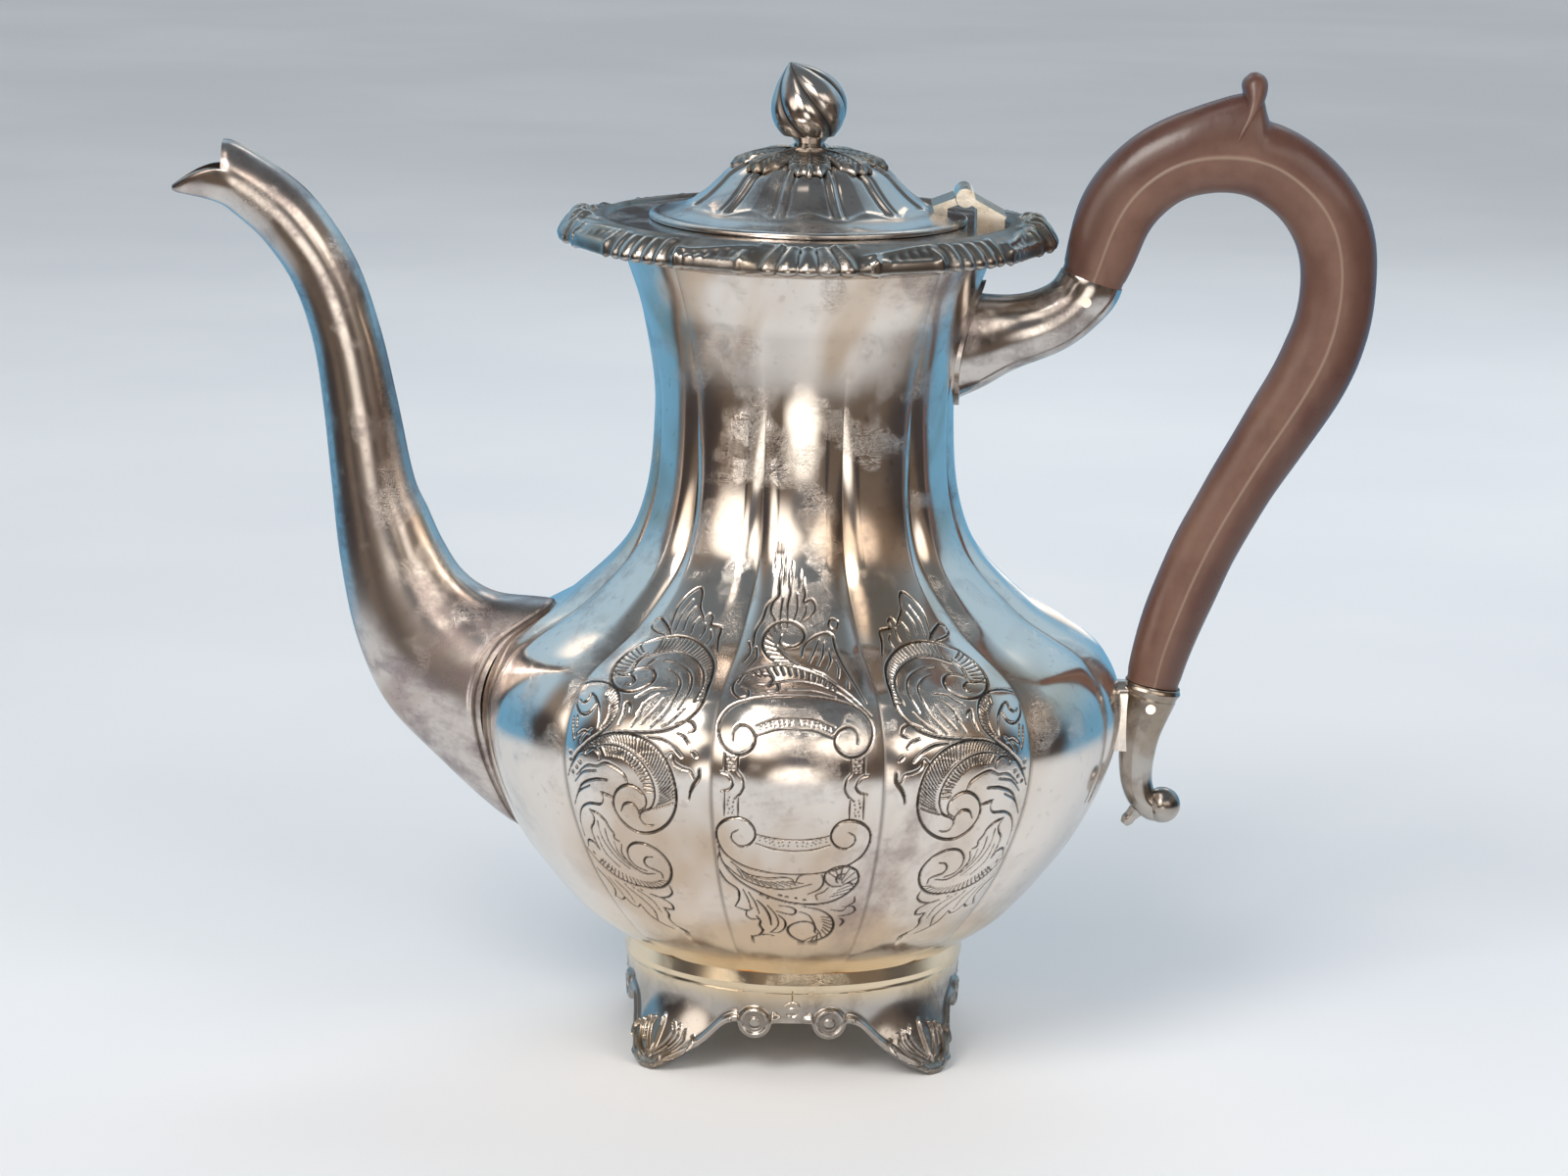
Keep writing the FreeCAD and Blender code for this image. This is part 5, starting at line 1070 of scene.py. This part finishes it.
def leafRosette():
    # leaves over the crown: the edge is notched between leaves and toothed along each; veins are ridges
    values = leafValues
    angle = np.linspace(0, fullTurn, 512, endpoint=False)
    outward = np.linspace(0, 1, 36)
    angleGrid, outGrid = np.meshgrid(angle, outward, indexing="ij")
    pitch = fullTurn / values["count"]
    fromLeaf = (angleGrid + pitch / 2) % pitch - pitch / 2
    across = np.abs(fromLeaf) / (pitch / 2)
    tooth = np.abs(np.sin(across * np.pi * values["teeth"] * 0.5)) * (across > 0.08)
    edge = 1 - 0.27 * across ** 3 - 0.045 * tooth
    radius = values["bore"] + (values["reach"] * edge - values["bore"]) * outGrid
    profile = np.array(lidValues["profile"])[::-1]
    under = lidValues["seat"] + smoothRead(profile[:, 0], profile[:, 1], radius)
    vein = bell(fromLeaf * radius, 0.45)
    sideVeins = np.abs(np.sin((outGrid * 9 - across * 3.2) * np.pi)) ** 3 * (1 - bell(across, 0.15))
    crown = (1 - across ** 2) * outGrid
    lift = values["thickness"] * (1 - 0.35 * outGrid ** 3)
    lift = lift + 0.6 * crown + 0.45 * vein + 0.4 * sideVeins * outGrid
    lift *= 1 - 0.5 * ease(outGrid, 0.93, 1.0)
    curl = values["tipLift"] * ease(outGrid, 0.75, 1.0) * (1 - across)
    top = turned(radius, angleGrid, under + lift + curl)
    bottom = top.copy()
    bottom[..., 2] = under + curl * 0.6 + 0.05
    points, faces = shellParts(top[:, ::-1], bottom[:, ::-1], wrapRows=True)
    shade = 0.6 * (1 - np.clip(vein + sideVeins, 0, 1)) * ease(outGrid, 0.15, 0.5)
    makePiece("finial_leaves", points, faces, "castSilverPaintedShade", "lid", replaced=("finial_leaves",), sharp=55,
              cavity=outsideFirst(shade[:, ::-1], len(points), 0.5))

leafRosette()

budValues = {
    "length": 21.6, "radius": 9.8, "lean": 24.0, "shift": 3.4, "top": 235.2, "lobes": 6, "twist": 0.55,
    "groove": 0.15,
    "swell": [(0.0, 0.3), (0.08, 0.6), (0.22, 0.88), (0.42, 1.0), (0.62, 0.89), (0.82, 0.55), (0.95, 0.2),
              (1.0, 0.03)],  # share up, share of the radius
}

def finialBud():
    # spindle whose lobes wind round it: the radius dips where two lobes meet, most halfway up
    values = budValues
    angle = np.linspace(0, fullTurn, 336, endpoint=False)
    up = 0.5 - 0.5 * np.cos(np.linspace(0, np.pi, 120))
    angleGrid, upGrid = np.meshgrid(angle, up, indexing="ij")
    phase = (angleGrid * values["lobes"] + values["twist"] * fullTurn * upGrid) / 2
    dip = (1 - np.abs(np.sin(phase))) ** 1.5
    strength = values["groove"] * np.sin(np.pi * np.clip(upGrid, 0.04, 0.98)) ** 0.5
    radius = values["radius"] * readPairs(values["swell"], upGrid) * (1 - strength * dip)
    lean = np.radians(values["lean"])
    x, y, z = radius * np.cos(angleGrid), radius * np.sin(angleGrid), values["length"] * upGrid
    low = values["top"] - values["radius"] / 7
    leaned = np.stack([x * np.cos(lean) - z * np.sin(lean) + values["shift"], y,
                       np.maximum(x * np.sin(lean) + z * np.cos(lean) + low, values["top"])], -1)
    points, faces = closedTube(leaned)
    cavity = np.append(0.85 * ease(dip, 0.25, 0.9), (0.0, 0.0))
    makePiece("finial_bud", points, faces, "lidAndMountSilverPaintedShade", "lid", replaced=("finial_bud",), sharp=70,
              cavity=cavity)

finialBud()
print("lid is done")

# spout: two halves of a faceted swan neck

spoutValues = {
    "belly": 83.5, "bellyHeight": 86.0, "rise": 119.0, "wall": 1.0, "facet": 9,
    # outer edge and inner edge as (reach beyond the belly, share of the rise), half breadth
    "sections": [((-20.0, -0.32), (-26.0, 0.235), 18.5), ((-5.1, -0.232), (-15.5, 0.24), 18.5),
                 ((9.0, -0.124), (-4.5, 0.25), 16.8), ((23.1, 0.0), (3.5, 0.294), 14.8),
                 ((30.8, 0.143), (8.8, 0.36), 13.0), ((35.0, 0.31), (12.8, 0.432), 11.6),
                 ((37.3, 0.479), (16.4, 0.5), 10.3), ((39.3, 0.639), (21.0, 0.676), 9.2),
                 ((42.1, 0.79), (25.5, 0.83), 8.4), ((47.1, 0.912), (31.8, 0.974), 8.2),
                 ((54.5, 1.004), (42.1, 1.1), 8.0), ((62.0, 1.061), (52.1, 1.168), 7.8),
                 ((67.0, 1.087), (64.5, 1.222), 7.5)],
    "tip": (78.2, 1.108), "notch": (67.0, 1.165),
    "flange": 0.9,
}

def spoutPlace(point):
    values = spoutValues
    return np.array([-values["belly"] - point[0], values["bellyHeight"] + point[1] * values["rise"]])

def spoutHalf(name, side):
    # section: an octagon with rounded corners, its radius the smooth least of the distances to its flats
    values = spoutValues
    outer = np.array([spoutPlace(section[0]) for section in values["sections"]])
    inner = np.array([spoutPlace(section[1]) for section in values["sections"]])
    breadth = np.array([section[2] for section in values["sections"]])
    tip, notch, top = spoutPlace(values["tip"]), spoutPlace(values["notch"]), inner[-1]
    outer = np.vstack([outer, tip])
    inner = np.vstack([inner, tip + (inner[-1] - outer[-2]) * 0.75])
    breadth = np.append(breadth, breadth[-1] * 0.42)
    middle = (outer + inner) / 2
    run = np.concatenate([[0], np.cumsum(np.linalg.norm(np.diff(middle, axis=0), axis=1))])
    around = np.linspace(0, np.pi, 73)
    dense = np.linspace(0, run[-1], 900)

    def surface(turn, along, wall):
        a, b, half = (smoothRead(run, line, along) for line in (outer, inner, breadth))
        flats = sum(np.abs(np.cos(turn - k * np.pi / 4)) ** values["facet"] for k in range(4))
        share = flats ** (-1 / values["facet"])
        centre, arm = (a + b) / 2, (b - a) / 2
        length = np.linalg.norm(arm, axis=-1)
        reach = (length - wall) / length * np.cos(turn) * share
        y = (half - wall) * np.sin(turn) * share
        x, z = centre[..., 0] + arm[..., 0] * reach, centre[..., 1] + arm[..., 1] * reach
        return np.stack([x, side * y, z], -1)

    turnGrid, alongGrid = np.meshgrid(around, dense, indexing="ij")
    skin = surface(turnGrid, alongGrid, 0.0)
    # where each line along the spout leaves the body, and where it meets the cut mouth
    clear = np.hypot(skin[..., 0], skin[..., 1]) - crestRadius(np.clip(skin[..., 2], bodyLow, bodyHigh))
    clear = np.where(skin[..., 2] > 160, 9.0, clear) + 0.4
    last = len(dense) - 1 - np.argmax((clear < 0)[:, ::-1], axis=1)
    start = dense[np.minimum(last + 1, len(dense) - 1)]
    # the upper part ends upright; the lip's edge leaves it level and bends down to the point
    fromNotch = np.clip((notch[0] - skin[..., 0]) / (notch[0] - tip[0]), 0, 1)
    edgeLine = notch[1] - (notch[1] - tip[1] - 0.5) * fromNotch ** 1.7
    over = np.minimum(top[0] - 0.5 - skin[..., 0], skin[..., 2] - edgeLine)
    over[:, dense < run[-3]] = -1.0
    cut = np.argmax(over > 0, axis=1)
    before = np.maximum(cut - 1, 0)
    row = np.arange(len(around))
    share = -over[row, before] / np.maximum(over[row, cut] - over[row, before], 1e-9)
    stop = np.where(cut > 0, dense[before] + (dense[cut] - dense[before]) * np.clip(share, 0, 1), run[-1])
    kernel = np.array([0.25, 0.5, 0.25])
    for _ in range(3):  # soften the two lines across the facets
        start[1:-1] = np.convolve(start, kernel, "valid")
    steps = np.concatenate([np.linspace(0, 0.06, 22)[:-1], np.linspace(0.06, 1, 240)])
    turnFine = np.repeat(around[:, None], len(steps), 1)
    along = start[:, None] + (stop - start)[:, None] * steps
    outerSkin = surface(turnFine, along, 0.0)
    fromRoot = along - start[:, None]
    normals = surfaceNormals(outerSkin) * (-side)
    lift = values["flange"] * (1 - ease(fromRoot, 1.4, 1.9)) + 0.35 * bell(fromRoot - 2.6, 0.6)
    rolled = 0.35 * bell(stop[:, None] - along, 0.9)
    seam = -0.22 * bell(turnFine * 8, 0.35) - 0.22 * bell((np.pi - turnFine) * 8, 0.35)
    outerSkin = outerSkin + normals * (lift + rolled + seam)[..., None]
    innerSkin = surface(turnFine, along, values["wall"])
    outerSkin[[0, -1], :, 1] = innerSkin[[0, -1], :, 1] = 0.0  # the halves meet on the middle plane
    if side > 0:
        outerSkin, innerSkin = outerSkin[::-1], innerSkin[::-1]
        fromRoot, turnFine = fromRoot[::-1], turnFine[::-1]
    points, faces = shellParts(outerSkin, innerSkin)
    dark = 0.7 * bell(fromRoot - 2.0, 0.55) + 0.35 * bell(turnFine * 8, 0.6)
    dark = dark + 0.35 * bell((np.pi - turnFine) * 8, 0.6)
    makePiece(name, points, faces, "platedSpout", replaced=(name,), sharp=50,
              cavity=outsideFirst(np.clip(dark, 0, 1), len(points), 0.5))

spoutHalf("spout_front_half", -1)
spoutHalf("spout_back_half", 1)
print("spout is done")

# handle: composition grip with a mould line and a thumb scroll, and its lower socket

gripValues = {
    "belly": 83.5, "foot": 95.0, "rise": 110.0, "breadth": 0.84, "square": 2.35, "line": 0.22,
    # reach beyond the belly, share of the rise, half width; from the upper socket round to the lower one
    "sections": [(-11.0, 0.955, 7.9), (-8.5, 1.023, 8.7), (-4.9, 1.115, 9.0), (2.0, 1.191, 9.3),
                 (11.7, 1.242, 9.6), (22.0, 1.251, 9.5), (33.0, 1.239, 9.9), (40.9, 1.19, 10.1),
                 (47.0, 1.136, 10.2), (50.8, 1.059, 10.0), (52.0, 0.963, 9.6), (50.7, 0.859, 9.7),
                 (47.8, 0.777, 9.9), (41.7, 0.672, 9.5), (32.0, 0.527, 8.7), (20.8, 0.338, 8.3),
                 (13.4, 0.172, 8.0), (9.0, 0.05, 7.3), (8.2, 0.0, 6.9)],
    # height of the thumb scroll's ramp above the grip, by the length along it
    "scroll": [(0, 0), (9, 0.5), (18, 1.3), (29, 1.6), (38, 1.8), (43, 2.5), (47.5, 3.9), (51.5, 5.4),
               (54.5, 6.2), (56.5, 6.0), (57.6, 4.6), (58.6, 1.2), (59.6, 0), (400, 0)],
    # its upright fold and knob: forward, rise from the knob's middle, half width, half breadth
    "fold": [(-5.2, -15.0, 1.2, 7.6), (-3.2, -10.6, 1.7, 7.9), (-1.2, -6.8, 2.1, 7.0), (-0.1, -3.6, 2.5, 6.1),
             (0.2, -0.8, 3.1, 5.4), (0.1, 1.2, 3.3, 4.7), (-0.1, 2.8, 2.6, 3.7), (-0.3, 3.9, 1.0, 1.6)],
}

def gripPlace(reach, share):
    return np.array([gripValues["belly"] + reach, 0.0, gripValues["foot"] + share * gripValues["rise"]])

def tubeSurface(centres, halves, breadths, around, along, square=2.0, soften=0.0, raised=None):
    # section: an oval drawn towards a box by its power, square to the path that runs through the centres;
    # raised adds to its half width on the outer side, and soften is the length over which the path is evened
    run = np.concatenate([[0], np.cumsum(np.linalg.norm(np.diff(centres, axis=0), axis=1))])
    at = np.linspace(0, run[-1], along) if np.isscalar(along) else along * run[-1]
    even = np.linspace(0, run[-1], 600)
    path = smoothRead(run, centres, even)
    if soften:
        reach = int(3 * soften / even[1])
        weights = bell(np.arange(-reach, reach + 1) * even[1], soften * 1.4)
        ends = [2 * path[0] - path[reach:0:-1], path, 2 * path[-1] - path[-2:-reach - 2:-1]]
        longer = np.concatenate(ends)
        weights = weights / weights.sum()
        path = np.stack([np.convolve(longer[:, axis], weights, "valid") for axis in range(3)], -1)
    across = pathFrame(path)
    centre = np.stack([np.interp(at, even, path[:, axis]) for axis in range(3)], -1)
    normal = np.stack([np.interp(at, even, across[:, axis]) for axis in range(3)], -1)
    half, breadth = smoothRead(run, halves, at), smoothRead(run, breadths, at)
    cosine, sine = np.cos(around)[:, None], np.sin(around)[:, None]
    size = (np.abs(cosine) ** square + np.abs(sine) ** square) ** (-1 / square)
    outer = half if raised is None else half + np.where(cosine < 0, readPairs(raised, at), 0.0)
    points = centre[None] + normal[None] * (outer * cosine * size)[..., None]
    points[..., 1] += breadth * sine * size
    return points, at

def handleGrip():
    values = gripValues
    centres = np.array([gripPlace(reach, share) for reach, share, _ in values["sections"]])
    halves = np.array([half for _, _, half in values["sections"]])
    spread = np.linspace(0, fullTurn, 144, endpoint=False)
    around = spread + 0.36 * np.sin(2 * spread)   # closer steps at the two sides, where the mould line runs
    rows = np.concatenate([np.linspace(0, 0.19, 56)[:-1], np.linspace(0.19, 0.25, 60)[:-1],
                           np.linspace(0.25, 1, 190)])   # closest where the thumb scroll drops
    points, at = tubeSurface(centres, halves, halves * values["breadth"], around, rows, values["square"], 5.0,
                             values["scroll"])
    normals = surfaceNormals(points, wrapRows=True)
    fromSide = np.minimum(np.abs(around - np.pi / 2), np.abs(around - 3 * np.pi / 2))[:, None] * 8.0
    line = bell(fromSide, 0.34) * np.ones(len(at))
    dent = 0.12 * np.sin(at / 7.0) * np.cos(around[:, None] * 2)
    dent = dent + 0.08 * np.sin(at / 3.1 + around[:, None] * 3)
    collar = -0.25 * (bell(at - 1.2, 0.5) + bell(at[-1] - at - 1.2, 0.5))
    sign = facing(points)
    points = points + sign * normals * (values["line"] * line + dent * 0.6 + collar)[..., None]
    outside = ease(-np.cos(around), -0.1, 0.55)[:, None] * np.ones(len(at))
    tube, faces = closedTube(points if sign > 0 else points[::-1])
    order = slice(None) if sign > 0 else slice(None, None, -1)
    # the ramp of the thumb scroll ends against a fold that climbs from the grip's side to a knob
    fold = np.array(values["fold"])
    climb = gripPlace(28.3, 1.403) + np.stack([fold[:, 0], 0 * fold[:, 0], fold[:, 1]], -1)
    foldTube, _ = tubeSurface(climb, fold[:, 2], fold[:, 3], spread[::2], 80, 2.2)
    foldTube = foldTube if facing(foldTube) > 0 else foldTube[::-1]
    points, faces = joinBlocks([(tube, faces), closedTube(foldTube)])
    worn = np.append(outside[order].ravel(),
                     (0, 0))  # the tube's own points, with the middles of its two ends
    makePiece("handle_grip", points, faces, "composition", slot="composition", replaced=("handle_grip",),
              sharp=60, line=outsideFirst(line[order], len(points)),
              outside=outsideFirst(worn, len(points), 0.35))

handleGrip()

socketValues = {
    # lower socket below the grip's foot: reach from its centre, drop, half width
    "stem": [(0.0, 0.2, 7.2), (-0.5, 2.8, 7.0), (-1.6, 7.0, 6.3), (-2.9, 13.0, 5.3), (-3.5, 18.5, 4.7),
             (-3.6, 23.0, 4.3), (-3.1, 27.0, 4.0), (-1.6, 30.6, 3.7), (1.0, 33.0, 3.5), (3.4, 33.6, 3.2)],
    "tail": [(-1.6, 31.0, 2.6), (-2.6, 33.2, 2.2), (-4.4, 35.4, 1.7), (-5.4, 36.6, 1.7), (-6.2, 37.6, 1.1)],
    "knob": (3.6, 32.4, 4.7),
}

def lowerSocket():
    # tapering stem, a round knob held against it by a short curl, and a small tail
    values = socketValues
    foot = gripPlace(8.2, 0.0)
    spread = np.linspace(0, fullTurn, 96, endpoint=False)
    blocks = []
    for key, square in (("stem", 2.3), ("tail", 2.0)):
        rows = np.array(values[key])
        centres = foot + np.stack([rows[:, 0], 0 * rows[:, 0], -rows[:, 1]], -1)
        grid, at = tubeSurface(centres, rows[:, 2], rows[:, 2] * 0.88, spread, 110, square)
        normals = surfaceNormals(grid, wrapRows=True)
        sign = facing(grid)
        ridge = 0.3 * bell((np.abs(np.sin(spread)) - 1) * 8, 0.7)[:, None] if key == "stem" else 0
        collar = 0.45 * bell(at - 1.4, 0.6) - 0.15 * bell(at - 2.8, 0.4) if key == "stem" else 0
        grid = grid + sign * normals * (ridge + collar + 0 * at)[..., None]
        blocks.append(closedTube(grid if sign > 0 else grid[::-1]))
    out, drop, radius = values["knob"]
    polar = np.linspace(0.03, np.pi - 0.03, 40)
    ballAround, ballPolar = np.meshgrid(spread, polar, indexing="ij")
    grooved = radius * (1 - 0.035 * np.abs(np.sin(2 * ballPolar)) ** 6)
    ball = np.stack([grooved * np.sin(ballPolar) * np.cos(ballAround), -grooved * np.cos(ballPolar) * 0.96,
                     grooved * np.sin(ballPolar) * np.sin(ballAround)], -1) + foot + np.array([out, 0, -drop])
    blocks.append(closedTube(ball if facing(ball) > 0 else ball[::-1]))
    points, faces = joinBlocks(blocks)
    makePiece("lower_handle_socket", points, faces, "castSilverPaintedShade", replaced=("lower_handle_socket",), sharp=60,
              cavity=np.zeros(len(points)))

lowerSocket()
print("handle is done")

# CAD pieces that stay as they are, with better finishes

keptFinishes = {
    "silver_plate": "platedShell", "hinge_metal": "wornBrass", "inner_hardware": "wornBrass",
    "composition": "composition",
}
slotOf = {part["node"]: part["material_slot"] for part in frame["record"]["subparts"]}
for nodeName, item in nodes.items():
    item.data.materials.clear()
    item.data.materials.append(finishes[keptFinishes[slotOf[nodeName]]])
# these kept pieces take the silver whose clean metal is made darker as painted shade
for nodeName in ("finial_stem", "foot_collar", "rim_flange", "lid_bezel", "upper_handle_socket",
                 "upper_socket_patch"):
    nodes[nodeName].data.materials[0] = finishes["lidAndMountSilverPaintedShade"]
print("kept pieces have their finishes")
